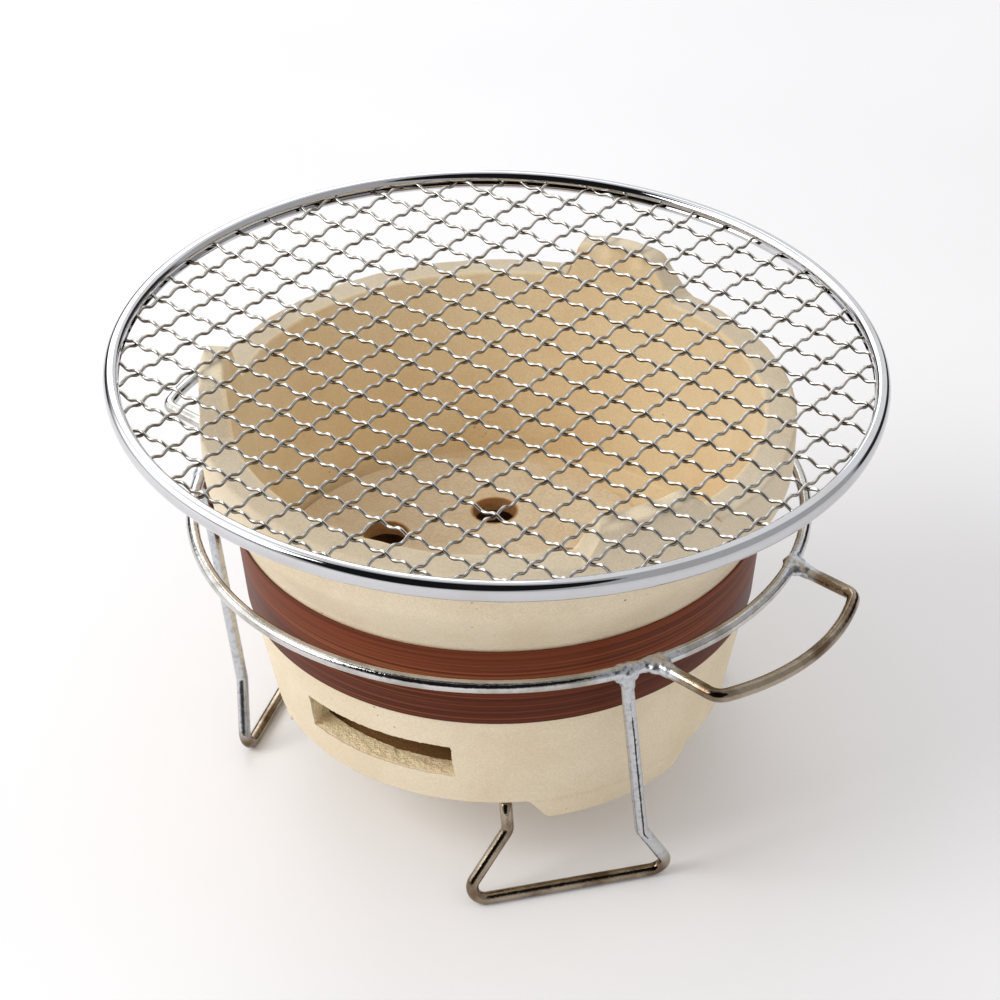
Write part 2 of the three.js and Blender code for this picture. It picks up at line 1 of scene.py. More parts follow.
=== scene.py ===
"""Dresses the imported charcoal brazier: wire carrier, earthenware fire bowl, loose grate and grill.

The frame is in metres with +Z up. The origin is on the table, on the fire bowl's upright axis, and
the camera looks along +Y. An azimuth is counted from -Y towards +X, as in the part's source.
"""

import logging
import math
from collections.abc import Callable, Iterator, Sequence
from contextlib import contextmanager
from dataclasses import dataclass
from enum import Enum
from typing import Any, Optional, Union

import bmesh
import bpy
from mathutils import Matrix, Vector, noise


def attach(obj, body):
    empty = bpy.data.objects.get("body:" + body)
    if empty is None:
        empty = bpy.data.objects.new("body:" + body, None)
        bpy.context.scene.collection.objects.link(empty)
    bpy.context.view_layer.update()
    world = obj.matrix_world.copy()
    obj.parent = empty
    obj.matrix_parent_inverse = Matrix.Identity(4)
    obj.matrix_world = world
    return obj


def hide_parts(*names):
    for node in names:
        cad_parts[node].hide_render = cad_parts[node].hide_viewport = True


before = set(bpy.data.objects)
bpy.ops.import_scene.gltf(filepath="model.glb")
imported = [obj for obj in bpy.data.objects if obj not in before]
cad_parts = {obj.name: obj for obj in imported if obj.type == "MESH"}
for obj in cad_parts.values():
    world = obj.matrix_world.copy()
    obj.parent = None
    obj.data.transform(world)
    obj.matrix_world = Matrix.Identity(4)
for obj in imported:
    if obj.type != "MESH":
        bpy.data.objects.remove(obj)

MM = 0.001
LOG = logging.getLogger("brazier")

Colour = tuple[float, float, float, float]
Piece = bpy.types.Object


class Body(Enum):
    """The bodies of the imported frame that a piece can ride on."""

    CARRIER = "carrier"
    BOWL = "bowl"
    GRATE = "grate"
    GRILL = "grill"


class Slot(Enum):
    """The record's material slots."""

    WIRE = "wire"
    WELD = "weld"
    CLAY = "clay"
    BAND = "band"
    BAKED_CLAY = "baked_clay"
    GRILL_CHROME = "grill_chrome"
    GRILL_WIRE = "grill_wire"


class Pick(Enum):
    """What a selection is made of."""

    VERTS = "VERT"
    FACES = "FACE"


# --------------------------------------------------------------------------------------------------
# Small helpers
# --------------------------------------------------------------------------------------------------


def shade(red: float, green: float, blue: float) -> Colour:
    """Turn a colour as a screen shows it into the linear one that a shader takes.

    Args:
        red: Red from 0 to 255.
        green: Green from 0 to 255.
        blue: Blue from 0 to 255.

    Returns:
        The linear colour with full opacity.
    """

    def linear(value: float) -> float:
        """One channel, from 0 to 255, as a linear value."""
        share = value / 255
        return share / 12.92 if share <= 0.04045 else ((share + 0.055) / 1.055) ** 2.4

    return (linear(red), linear(green), linear(blue), 1.0)


def lerp(low: float, high: float, share: float) -> float:
    """The value at a share of the way from low to high."""
    return low + (high - low) * share


def polar(azimuth: float, radius: float, height: float) -> Vector:
    """The point at an azimuth in degrees, a radius and a height."""
    angle = math.radians(azimuth)
    return Vector((radius * math.sin(angle), -radius * math.cos(angle), height))


def half_sizes(*values: float) -> Vector:
    """A lump's half sizes, given in millimetres."""
    return Vector(value * MM for value in values)


def spun(place: Vector, angle: float) -> Vector:
    """A place turned about the upright axis by an angle in degrees."""
    return Matrix.Rotation(math.radians(angle), 3, "Z") @ place


def level_way(angle: float) -> Vector:
    """The level direction at an angle in degrees from +X towards +Y."""
    return Vector((math.cos(math.radians(angle)), math.sin(math.radians(angle)), 0))


def azimuth_of(point: Vector) -> float:
    """The azimuth of a point in degrees, from -180 to 180."""
    return math.degrees(math.atan2(point.x, -point.y))


def flat_radius(point: Vector) -> float:
    """The distance of a point from the upright axis."""
    return math.hypot(point.x, point.y)


def angle_apart(first: float, second: float) -> float:
    """The signed difference between two azimuths, from -180 to 180."""
    return (first - second + 180) % 360 - 180


def rounded(
    corners: Sequence[tuple[float, float, float]], step: float = 15.0
) -> list[tuple[float, float]]:
    """Round the corners of an open profile.

    Args:
        corners: Radius, height and rounding radius of each corner.
        step: The largest turn between two points of a rounding, in degrees.

    Returns:
        The radius and height of each point of the profile.
    """
    points = [(corners[0][0], corners[0][1])]
    for before, corner, after in zip(corners, corners[1:], corners[2:]):
        here = Vector(corner[:2])
        arrive = (here - Vector(before[:2])).normalized()
        leave = (Vector(after[:2]) - here).normalized()
        turn = arrive.angle_signed(leave)
        if corner[2] == 0 or abs(turn) < 1e-4:
            points.append((here.x, here.y))
            continue
        start = here - arrive * (corner[2] * math.tan(abs(turn) / 2))
        side = Vector((arrive.y, -arrive.x)) * math.copysign(corner[2], turn)
        centre = start + side
        count = max(2, math.ceil(math.degrees(abs(turn)) / step))
        for index in range(count + 1):
            arm = -side.copy()
            arm.rotate(Matrix.Rotation(-turn * index / count, 2))
            points.append(tuple(centre + arm))
    points.append((corners[-1][0], corners[-1][1]))
    return points


@dataclass(frozen=True)
class GrillLie:
    """How the grill lies on the lugs: its height on the axis and its slight tilt, in degrees."""

    height: float = 185.2 * MM
    back: float = 1.24
    right: float = 1.55
    gap: float = 0.3 * MM

    def turn(self) -> Matrix:
        """The tilt alone."""
        to_back = Matrix.Rotation(math.radians(self.back), 4, "X")
        return to_back @ Matrix.Rotation(math.radians(self.right), 4, "Y")

    def move(self) -> Matrix:
        """The move that lays a level grill down with its tilt."""
        up = Matrix.Translation((0, 0, self.height))
        return up @ self.turn() @ up.inverted()

    def normal(self) -> Vector:
        """The direction square to the net."""
        return self.turn() @ Vector((0, 0, 1))

    def above(self, place: Vector) -> float:
        """Height of the net's underside above a place on the table."""
        normal = self.normal()
        return self.height - (normal.x * place.x + normal.y * place.y) / normal.z


# --------------------------------------------------------------------------------------------------
# The bench: Blender's hand tools
# --------------------------------------------------------------------------------------------------


class Bench:
    """Blender's hand tools, used on one piece of work at a time."""

    @staticmethod
    def clear() -> None:
        """Leave edit mode and put everything down."""
        active = bpy.context.view_layer.objects.active
        if active is not None and active.mode != "OBJECT":
            bpy.ops.object.mode_set(mode="OBJECT")
        bpy.ops.object.select_all(action="DESELECT")

    @staticmethod
    def take(*pieces: Piece) -> None:
        """Select only these pieces, the first of them active."""
        Bench.clear()
        for piece in pieces:
            piece.select_set(True)
        bpy.context.view_layer.objects.active = pieces[0]

    @staticmethod
    def settle(name: str) -> Piece:
        """Name the primitive that was just added and put its place into its mesh."""
        piece = bpy.context.view_layer.objects.active
        piece.name = name
        piece.data.name = name
        Bench.take(piece)
        bpy.ops.object.transform_apply(location=True, rotation=True, scale=True)
        return piece

    @staticmethod
    @contextmanager
    def edit(piece: Piece, kind: Pick = Pick.VERTS) -> Iterator[None]:
        """Work on a piece in edit mode, with nothing selected at first.

        Args:
            piece: The piece to work on.
            kind: What selections are made of.
        """
        Bench.take(piece)
        bpy.ops.object.mode_set(mode="EDIT")
        bpy.ops.mesh.select_mode(type=kind.value)
        bpy.ops.mesh.select_all(action="DESELECT")
        yield
        bpy.ops.object.mode_set(mode="OBJECT")

    @staticmethod
    def pick(piece: Piece, kind: Pick, wanted: Callable[[Vector, Vector], bool]) -> int:
        """Select faces or vertices of the piece in edit mode by place and normal.

        Args:
            piece: The piece in edit mode.
            kind: Whether faces or vertices are selected.
            wanted: Says from a place and a normal whether the item is selected.

        Returns:
            How many items are selected.
        """
        mesh = bmesh.from_edit_mesh(piece.data)
        bpy.ops.mesh.select_mode(type=kind.value)
        bpy.ops.mesh.select_all(action="DESELECT")
        count = 0
        if kind is Pick.FACES:
            for face in mesh.faces:
                if wanted(face.calc_center_median(), face.normal):
                    face.select_set(True)
                    count += 1
        else:
            for vert in mesh.verts:
                if wanted(vert.co, vert.normal):
                    vert.select_set(True)
                    count += 1
        mesh.select_flush_mode()
        bmesh.update_edit_mesh(piece.data)
        return count

    @staticmethod
    def press(piece: Piece, shape: Callable[[Vector], Vector]) -> None:
        """Move each selected vertex of the piece in edit mode to where a rule says."""
        mesh = bmesh.from_edit_mesh(piece.data)
        for vert in mesh.verts:
            if vert.select:
                vert.co = shape(vert.co.copy())
        bmesh.update_edit_mesh(piece.data)

    @staticmethod
    def pull(move: Vector) -> None:
        """Extrude what is selected by a move."""
        bpy.ops.mesh.extrude_region_move(TRANSFORM_OT_translate={"value": tuple(move)})

    @staticmethod
    def whirl(steps: int, angle: float, centre: Vector, axis: Vector) -> None:
        """Spin what is selected about an axis, by the right-hand rule, in degrees."""
        bpy.ops.mesh.spin(
            steps=steps, angle=-math.radians(angle), center=tuple(centre), axis=tuple(axis)
        )

    @staticmethod
    def face_out() -> None:
        """Turn every face outwards, in edit mode."""
        bpy.ops.mesh.select_all(action="SELECT")
        bpy.ops.mesh.normals_make_consistent(inside=False)

    @staticmethod
    def merge(distance: float = 0.001 * MM) -> None:
        """Merge vertices that lie together, in edit mode."""
        bpy.ops.mesh.select_all(action="SELECT")
        bpy.ops.mesh.remove_doubles(threshold=distance)

    @staticmethod
    def close_up() -> None:
        """Merge doubles, fill open ends and turn every face outwards, in edit mode."""
        Bench.merge()
        bpy.ops.mesh.fill_holes(sides=0)
        Bench.face_out()

    @staticmethod
    def tool(piece: Piece, kind: str, **settings: Any) -> None:
        """Give the piece a modifier with its settings and apply it."""
        modifier = piece.modifiers.new(kind.lower(), kind)
        for name, value in settings.items():
            setattr(modifier, name, value)
        Bench.take(piece)
        bpy.ops.object.modifier_apply(modifier=modifier.name)

    @staticmethod
    def roughen(piece: Piece, size: float, depth: float, seed_shift: float = 0.0) -> None:
        """Push the piece's surface in and out by a soft noise.

        Args:
            piece: The piece, finely divided.
            size: The size of the noise's lumps.
            depth: How far the highest lump stands above the lowest pit.
            seed_shift: A shift of the noise, so that two pieces differ.
        """
        texture = bpy.data.textures.new(f"{piece.name}_lumps", "CLOUDS")
        texture.noise_scale = size
        texture.noise_depth = 2
        holder = bpy.data.objects.new(f"{piece.name}_shift", None)
        holder.location = (seed_shift, seed_shift / 2, -seed_shift)
        bpy.context.scene.collection.objects.link(holder)
        bpy.context.view_layer.update()
        Bench.tool(
            piece,
            "DISPLACE",
            texture=texture,
            texture_coords="OBJECT",
            texture_coords_object=holder,
            strength=depth,
            mid_level=0.5,
        )
        bpy.data.objects.remove(holder)
        bpy.data.textures.remove(texture)

    @staticmethod
    def cut(piece: Piece, cutter: Piece, operation: str = "DIFFERENCE") -> None:
        """Cut, join or intersect a piece with another one, which is used up."""
        Bench.tool(piece, "BOOLEAN", object=cutter, operation=operation, solver="EXACT")
        bpy.data.objects.remove(cutter)

    @staticmethod
    def copy(piece: Piece, name: str, move: Matrix = Matrix.Identity(4)) -> Piece:
        """Copy a piece with its own mesh, put somewhere else by a matrix."""
        twin = piece.copy()
        twin.data = piece.data.copy()
        twin.name = name
        twin.data.name = name
        twin.data.transform(move)
        bpy.context.scene.collection.objects.link(twin)
        return twin

    @staticmethod
    def join(name: str, *pieces: Piece) -> Piece:
        """Join pieces into one with a name."""
        Bench.take(*pieces)
        if len(pieces) > 1:
            bpy.ops.object.join()
        whole = bpy.context.view_layer.objects.active
        whole.name = name
        whole.data.name = name
        return whole

    @staticmethod
    def smooth(piece: Piece, angle: float = 35.0) -> None:
        """Shade a piece smooth, apart from edges that are sharper than an angle in degrees."""
        Bench.take(piece)
        bpy.ops.object.shade_smooth_by_angle(angle=math.radians(angle))

    @staticmethod
    def mark(piece: Piece, name: str, rule: Callable[[Vector], float]) -> None:
        """Store a number at each vertex, which the piece's finish reads by its name."""
        attribute = piece.data.attributes.new(name, "FLOAT", "POINT")
        attribute.data.foreach_set("value", [rule(vert.co) for vert in piece.data.vertices])

    @staticmethod
    def turned(
        name: str, profile: Sequence[tuple[float, float]], steps: int, angle: float = 360.0
    ) -> Piece:
        """Turn a profile about the upright axis.

        Args:
            name: The piece's name.
            profile: Radius and height of each point.
            steps: Steps of the turn.
            angle: The turn in degrees, centred on -Y.

        Returns:
            The turned shell, closed where the profile is closed or ends on the axis.
        """
        Bench.clear()
        start = polar(-angle / 2, *profile[0])
        bpy.ops.mesh.primitive_plane_add(size=MM, location=start)
        piece = Bench.settle(name)
        with Bench.edit(piece):
            bpy.ops.mesh.select_all(action="SELECT")
            bpy.ops.mesh.merge(type="CENTER")
            for here, there in zip(profile, profile[1:]):
                Bench.pull(polar(-angle / 2, *there) - polar(-angle / 2, *here))
            bpy.ops.mesh.select_all(action="SELECT")
            Bench.whirl(steps, angle, Vector(), Vector((0, 0, 1)))
            Bench.merge()
            Bench.face_out()
        return piece


class WireBender:
    """A round wire that is fed out along its heading and turned round pins."""

    def __init__(
        self, name: str, start: Vector, heading: Vector, radius: float, sides: int = 24
    ) -> None:
        """Start a wire.

        Args:
            name: The wire's name.
            start: The middle of its first end.
            heading: The way that it leaves there.
            radius: Half its gauge.
            sides: Sides of its round section.
        """
        self.heading = heading.normalized()
        self.here = start.copy()
        Bench.clear()
        bpy.ops.mesh.primitive_circle_add(
            vertices=sides,
            radius=radius,
            fill_type="NOTHING",
            location=start,
            rotation=self.heading.to_track_quat("Z", "Y").to_euler(),
        )
        self.piece = Bench.settle(name)
        Bench.take(self.piece)
        bpy.ops.object.mode_set(mode="EDIT")
        bpy.ops.mesh.select_all(action="SELECT")

    def feed(self, distance: float, steps: int = 1) -> "WireBender":
        """Feed out a straight run in a number of steps."""
        for _ in range(steps):
            Bench.pull(self.heading * (distance / steps))
        self.here += self.heading * distance
        return self

    def turn(self, axis: Vector, radius: float, angle: float, step: float = 8.0) -> "WireBender":
        """Bend the wire round a pin.

        Args:
            axis: The pin's direction; the wire turns about it by the right-hand rule.
            radius: The bend's radius, at the wire's middle.
            angle: How far it turns, in degrees.
            step: The largest turn of one step, in degrees.

        Returns:
            The bender, for the next run.
        """
        pin = axis.normalized()
        centre = self.here + pin.cross(self.heading) * radius
        Bench.whirl(max(3, math.ceil(angle / step)), angle, centre, pin)
        swing = Matrix.Rotation(math.radians(angle), 3, pin)
        self.here = centre + swing @ (self.here - centre)
        self.heading = swing @ self.heading
        return self

    def follow(self, corners: Sequence[tuple[Vector, float]]) -> "WireBender":
        """Run through corners that are given as a point and a bend radius, to the last point."""
        for (corner, radius), (after, _) in zip(corners, corners[1:]):
            leave = (after - corner).normalized()
            angle = self.heading.angle(leave)
            setback = radius * math.tan(angle / 2)
            self.feed((corner - self.here).length - setback, 3)
            if angle > 1e-3:
                self.turn(self.heading.cross(leave), radius, math.degrees(angle))
        return self.feed((corners[-1][0] - self.here).length, 3)

    def done(self) -> Piece:
        """Close the ends and give back the finished wire."""
        Bench.close_up()
        bpy.ops.object.mode_set(mode="OBJECT")
        Bench.smooth(self.piece, 50)
        return self.piece


# --------------------------------------------------------------------------------------------------
# Shader graphs
# --------------------------------------------------------------------------------------------------

Feed = Union["Signal", float, tuple]


class Signal:
    """What comes out of a shader node, with Python's operators as Math nodes."""

    def __init__(self, graph: "Graph", socket: bpy.types.NodeSocket) -> None:
        """Wrap an output socket of a graph."""
        self.graph = graph
        self.socket = socket

    def math(self, operation: str, other: Feed = 0.0, flipped: bool = False) -> "Signal":
        """Put this signal through a Math node.

        Args:
            operation: The node's operation.
            other: The second value.
            flipped: Whether the second value goes first.

        Returns:
            The result.
        """
        first, second = (other, self) if flipped else (self, other)
        return self.graph.node("ShaderNodeMath", {"operation": operation}, {0: first, 1: second})

    def output(self, name: str) -> "Signal":
        """Another output of the same node."""
        return Signal(self.graph, self.socket.node.outputs[name])

    def __add__(self, other: Feed) -> "Signal":
        """Sum."""
        return self.math("ADD", other)

    def __radd__(self, other: Feed) -> "Signal":
        """Sum, from the right."""
        return self.math("ADD", other, flipped=True)

    def __sub__(self, other: Feed) -> "Signal":
        """Difference."""
        return self.math("SUBTRACT", other)

    def __rsub__(self, other: Feed) -> "Signal":
        """Difference, from the right."""
        return self.math("SUBTRACT", other, flipped=True)

    def __mul__(self, other: Feed) -> "Signal":
        """Product."""
        return self.math("MULTIPLY", other)

    def __rmul__(self, other: Feed) -> "Signal":
        """Product, from the right."""
        return self.math("MULTIPLY", other, flipped=True)

    def __pow__(self, other: Feed) -> "Signal":
        """Power."""
        return self.math("POWER", other)


class Graph:
    """The node graph of a material or a world."""

    def __init__(self, tree: bpy.types.NodeTree) -> None:
        """Start with an empty graph in a node tree."""
        self.tree = tree
        self.tree.nodes.clear()

    def node(
        self,
        kind: str,
        settings: Optional[dict[str, Any]] = None,
        sockets: Optional[dict[Union[int, str], Feed]] = None,
        output: Union[int, str] = 0,
    ) -> Signal:
        """Add a node.

        Args:
            kind: The node's type.
            settings: Its properties; "stops" holds a ramp's positions and colours.
            sockets: What each input gets: a value or a signal.
            output: The output that is given back.

        Returns:
            The signal of that output.
        """
        made = self.tree.nodes.new(kind)
        for name, value in (settings or {}).items():
            if name == "stops":
                self._set_stops(made.color_ramp, value)
            else:
                setattr(made, name, value)
        for name, value in (sockets or {}).items():
            if isinstance(value, Signal):
                self.tree.links.new(value.socket, made.inputs[name])
            else:
                made.inputs[name].default_value = value
        return Signal(self, made.outputs[output] if len(made.outputs) else None)

    @staticmethod
    def _set_stops(ramp: bpy.types.ColorRamp, stops: Sequence[tuple[float, Colour]]) -> None:
        """Give a ramp its stops."""
        while len(ramp.elements) < len(stops):
            ramp.elements.new(0.5)
        for element, (position, colour) in zip(ramp.elements, stops):
            element.position = position
            element.color = colour

    def place(self) -> Signal:
        """The place on the piece, in metres."""
        return self.node("ShaderNodeTexCoord", output="Object")

    def stretched(self, vector: Signal, scale: tuple[float, float, float]) -> Signal:
        """A place with each axis scaled."""
        return self.node("ShaderNodeMapping", sockets={"Vector": vector, "Scale": scale})

    def axes(self, vector: Signal) -> tuple[Signal, Signal, Signal]:
        """The three numbers of a vector."""
        first = self.node("ShaderNodeSeparateXYZ", sockets={0: vector})
        return first, first.output("Y"), first.output("Z")

    def radius(self, vector: Signal) -> Signal:
        """The distance from the upright axis."""
        flat = self.node(
            "ShaderNodeVectorMath", {"operation": "MULTIPLY"}, {0: vector, 1: (1.0, 1.0, 0.0)}
        )
        return self.node(
            "ShaderNodeVectorMath", {"operation": "LENGTH"}, {0: flat}, output="Value"
        )

    def noise(
        self, vector: Signal, scale: float, detail: float = 3.0, roughness: float = 0.5
    ) -> Signal:
        """A cloudy noise from 0 to 1 round 0.5, with lumps of 1 / scale metres."""
        return self.node(
            "ShaderNodeTexNoise",
            sockets={"Vector": vector, "Scale": scale, "Detail": detail, "Roughness": roughness},
        )

    def cells(self, vector: Signal, scale: float) -> Signal:
        """The distance to the nearest of many scattered points, in cells of 1 / scale metres."""
        return self.node(
            "ShaderNodeTexVoronoi", sockets={"Vector": vector, "Scale": scale}, output="Distance"
        )

    def between(self, signal: Feed, low: float, high: float) -> Signal:
        """0 below low, 1 above high, and a soft step between them."""
        return self.node(
            "ShaderNodeMapRange",
            {"interpolation_type": "SMOOTHSTEP"},
            {"Value": signal, "From Min": low, "From Max": high},
        )

    def blend(self, share: Feed, first: Feed, second: Feed, mode: str = "MIX") -> Signal:
        """Mix two colours by a share of the second one."""
        return self.node(
            "ShaderNodeMix",
            {"data_type": "RGBA", "blend_type": mode},
            {0: share, 6: first, 7: second},
            output=2,
        )

    def line(self, place: Signal, start: float, origin: float, slope: float) -> Signal:
        """A value that is start where place is origin, and grows with it by a slope."""
        return start + (place - origin) * slope

    def bump(
        self,
        height: Signal,
        distance: float,
        strength: float = 1.0,
        below: Optional[Signal] = None,
    ) -> Signal:
        """Turn a height into a bumpy normal.

        Args:
            height: The height from 0 to 1.
            distance: The real depth of a height of 1.
            strength: A share of the full effect.
            below: A coarser bump that this one lies on.

        Returns:
            The normal.
        """
        sockets: dict[Union[int, str], Feed] = {
            "Height": height,
            "Distance": distance,
            "Strength": strength,
        }
        if below is not None:
            sockets["Normal"] = below
        return self.node("ShaderNodeBump", sockets=sockets)

    def attribute(self, name: str) -> Signal:
        """A number that the piece stores at its vertices."""
        return self.node("ShaderNodeAttribute", {"attribute_name": name}, output="Fac")

    def surface(self, sockets: dict[Union[int, str], Feed]) -> None:
        """End the graph in one glossy or matte surface."""
        shader = self.node("ShaderNodeBsdfPrincipled", sockets=sockets)
        self.node("ShaderNodeOutputMaterial", sockets={"Surface": shader})


def new_material(name: str) -> tuple[bpy.types.Material, Graph]:
    """Start a material and its graph."""
    material = bpy.data.materials.new(name)
    material.use_nodes = True
    return material, Graph(material.node_tree)


# --------------------------------------------------------------------------------------------------
# Finishes
# --------------------------------------------------------------------------------------------------


@dataclass(frozen=True)
class MouldedClay:
    """Pale unglazed earthenware with sandy grain and a few pits. Its colour also holds painted shade
    in the pits, the ash chamber and the slot's passage, and painted light on the inside and the
    slot's sill, which are the same clay written lighter.
    """

    outside: Colour = shade(238, 222, 194)
    patch: Colour = shade(232, 214, 184)
    # painted light: the inside is the same clay as the outside, written lighter and warmer to stand
    # in for the light that fills the bowl
    inside: Colour = shade(252, 233, 196)
    lit_inside_patch: Colour = shade(248, 223, 181)
    # painted shade: the ash chamber and the far part of the air passage, darkened where shade falls
    shaded_deep_inside: Colour = shade(150, 112, 68)
    # painted light: the slot's sill is the same clay written lighter, standing in for the light on
    # it; crumb is its real grit
    lit_sill: Colour = shade(255, 236, 196)
    crumb: Colour = shade(216, 180, 130)
    # painted shade in the pits; their hollow itself is the bump further down
    pit: Colour = shade(96, 74, 52)
    dark_grain: Colour = shade(150, 150, 150)
    light_grain: Colour = shade(255, 255, 255)
    grain: float = 0.32 * MM
    base_height: float = 46 * MM
    inner_radius: float = 92.25 * MM
    inner_slope: float = 0.1
    wall_radius: float = 94 * MM
    wall_height: float = 43 * MM
    wall_slope: float = 0.185
    passage_radius: float = 86.8 * MM
    passage_roof: float = 79 * MM

    def material(self, name: str) -> bpy.types.Material:
        """Mix the finish as a material."""
        material, graph = new_material(name)
        place = graph.place()
        _, _, height = graph.axes(place)
        radius = graph.radius(place)
        clouds = graph.noise(place, 22, 4, 0.6)
        sand = graph.noise(place, 1300, 3, 0.7)
        above_base = graph.between(height, self.base_height, self.base_height + 1 * MM)
        roof = self.passage_roof
        low_down = (1 - graph.between(height, roof, roof + 2 * MM)) * above_base
        inner_line = graph.line(height, self.inner_radius, self.wall_height, self.inner_slope)
        # mask of the inside, where the lighter painted-light copy of the clay goes
        inside = (1 - graph.between(radius - inner_line, -0.6 * MM, 0.6 * MM)) * above_base
        end = self.passage_radius
        # painted shade deep inside the air passage and the ash chamber
        shaded_deep = (1 - graph.between(radius, end, end + 1.2 * MM)) * low_down
        outer_tone = graph.blend(graph.between(clouds, 0.42, 0.66), self.outside, self.patch)
        lit_inner_tone = graph.blend(graph.between(clouds, 0.38, 0.64), self.inside, self.lit_inside_patch)
        tone = graph.blend(shaded_deep, graph.blend(inside, outer_tone, lit_inner_tone), self.shaded_deep_inside)
        wall = graph.line(height, self.wall_radius, self.wall_height, self.wall_slope)
        slot_wall = graph.between(wall - radius, 0.8 * MM, 1.4 * MM) * low_down
        grit = graph.noise(place, 1100, 2, 0.6)
        # the sill's painted light, with real crumbs scattered in it
        crumbled = graph.blend(graph.between(grit, 0.5, 0.66) * 0.35, self.lit_sill, self.crumb)
        tone = graph.blend(slot_wall * (1 - shaded_deep), tone, crumbled)
        specks = graph.between(sand, 0.3, 0.7)
        grains = graph.blend(specks, self.dark_grain, self.light_grain)
        sandy = graph.blend(0.2, tone, grains, "MULTIPLY")
        thinned = graph.between(graph.noise(place, 60, 2), 0.56, 0.66)
        pits = (1 - graph.between(graph.cells(place, 210), 0.03, 0.1)) * thinned
        # the pits' dark colour is painted shade over their real hollows
        colour = graph.blend(pits * 0.75, sandy, self.pit)
        waves = graph.bump(clouds, 0.8 * MM, 0.35)
        relief = graph.bump(sand, self.grain, 0.7, waves)
        crumbs = graph.bump(grit * slot_wall, 0.8 * MM, 0.7, relief)
        normal = graph.bump(1 - pits, 0.6 * MM, 0.8, crumbs)
        graph.surface(
            {
                "Base Color": colour,
                "Roughness": 0.88 + (sand - 0.5) * 0.1,
                "Specular IOR Level": 0.25,
                "Normal": normal,
            }
        )
        return material


@dataclass(frozen=True)
class BakedClay:
    """The grate's coarser clay, with painted shade in brown on the walls of its holes."""

    top: Colour = shade(252, 236, 208)
    patch: Colour = shade(245, 224, 191)
    # painted shade: the brown of the hole walls, where shade falls in the holes
    hole_wall_shade: Colour = shade(196, 148, 98)
    dark_grain: Colour = shade(140, 140, 140)
    light_grain: Colour = shade(255, 255, 255)
    hole_spots: tuple[tuple[float, float], ...] = ()
    hole_radius: float = 9.5 * MM

    def material(self, name: str) -> bpy.types.Material:
        """Mix the finish as a material."""
        material, graph = new_material(name)
        place = graph.place()
        clouds = graph.noise(place, 35, 4, 0.6)
        sand = graph.noise(place, 1000, 3, 0.7)
        colour = graph.blend(graph.between(clouds, 0.4, 0.64), self.top, self.patch)
        near = None
        for spot in self.hole_spots:
            from_spot = graph.node(
                "ShaderNodeVectorMath", {"operation": "SUBTRACT"}, {0: place, 1: (*spot, 0.0)}
            )
            edge = self.hole_radius
            inside = 1 - graph.between(graph.radius(from_spot), edge, edge + 1.2 * MM)
            near = inside if near is None else near.math("MAXIMUM", inside)
        if near is not None:
            # painted shade inside the holes, patchy by the clouds
            colour = graph.blend(near * graph.between(clouds, 0.1, 0.5), colour, self.hole_wall_shade)
        grains = graph.blend(graph.between(sand, 0.3, 0.7), self.dark_grain, self.light_grain)
        graph.surface(
            {
                "Base Color": graph.blend(0.25, colour, grains, "MULTIPLY"),
                "Roughness": 0.9 + (sand - 0.5) * 0.1,
                "Specular IOR Level": 0.2,
                "Normal": graph.bump(sand, 0.4 * MM, 0.8, graph.bump(clouds, 1 * MM, 0.4)),
            }
        )
        return material


@dataclass(frozen=True)
class StreakedBand:
    """The brown waist band: fine level streaks under a satin coat, with painted shade that makes its
    lower part darker.
    """

    # painted shade: the band's brown is painted darker in its lower part, below the ring, and
    # lighter above it, blending between two heights
    lit_upper: Colour = shade(116, 56, 30)
    lower: Colour = shade(86, 38, 22)
    dark: Colour = shade(58, 24, 14)
    light: Colour = shade(158, 92, 54)
    shade_fade: tuple[float, float] = (98 * MM, 114 * MM)

    def material(self, name: str) -> bpy.types.Material:
        """Mix the finish as a material."""
        material, graph = new_material(name)
        place = graph.place()
        _, _, height = graph.axes(place)
        broad = graph.noise(graph.stretched(place, (3, 3, 240)), 1, 3, 0.6)
        fine = graph.noise(graph.stretched(place, (4, 4, 1300)), 1, 2, 0.6)
        uneven_height = height + (broad - 0.5) * (12 * MM)
        # painted shade: darker below, lighter above
        body = graph.blend(graph.between(uneven_height, *self.shade_fade), self.lower, self.lit_upper)
        colour = graph.blend((1 - graph.between(broad, 0.3, 0.56)) * 0.45, body, self.dark)
        colour = graph.blend(graph.between(fine, 0.56, 0.7) * 0.55, colour, self.light)
        colour = graph.blend((1 - graph.between(fine, 0.34, 0.47)) * 0.6, colour, self.dark)
        graph.surface(
            {
                "Base Color": colour,
                "Roughness": 0.42 + (fine - 0.5) * 0.3,
                "Specular IOR Level": 0.09,
                "Normal": graph.bump(fine, 0.06 * MM, 0.6),
            }
        )
        return material


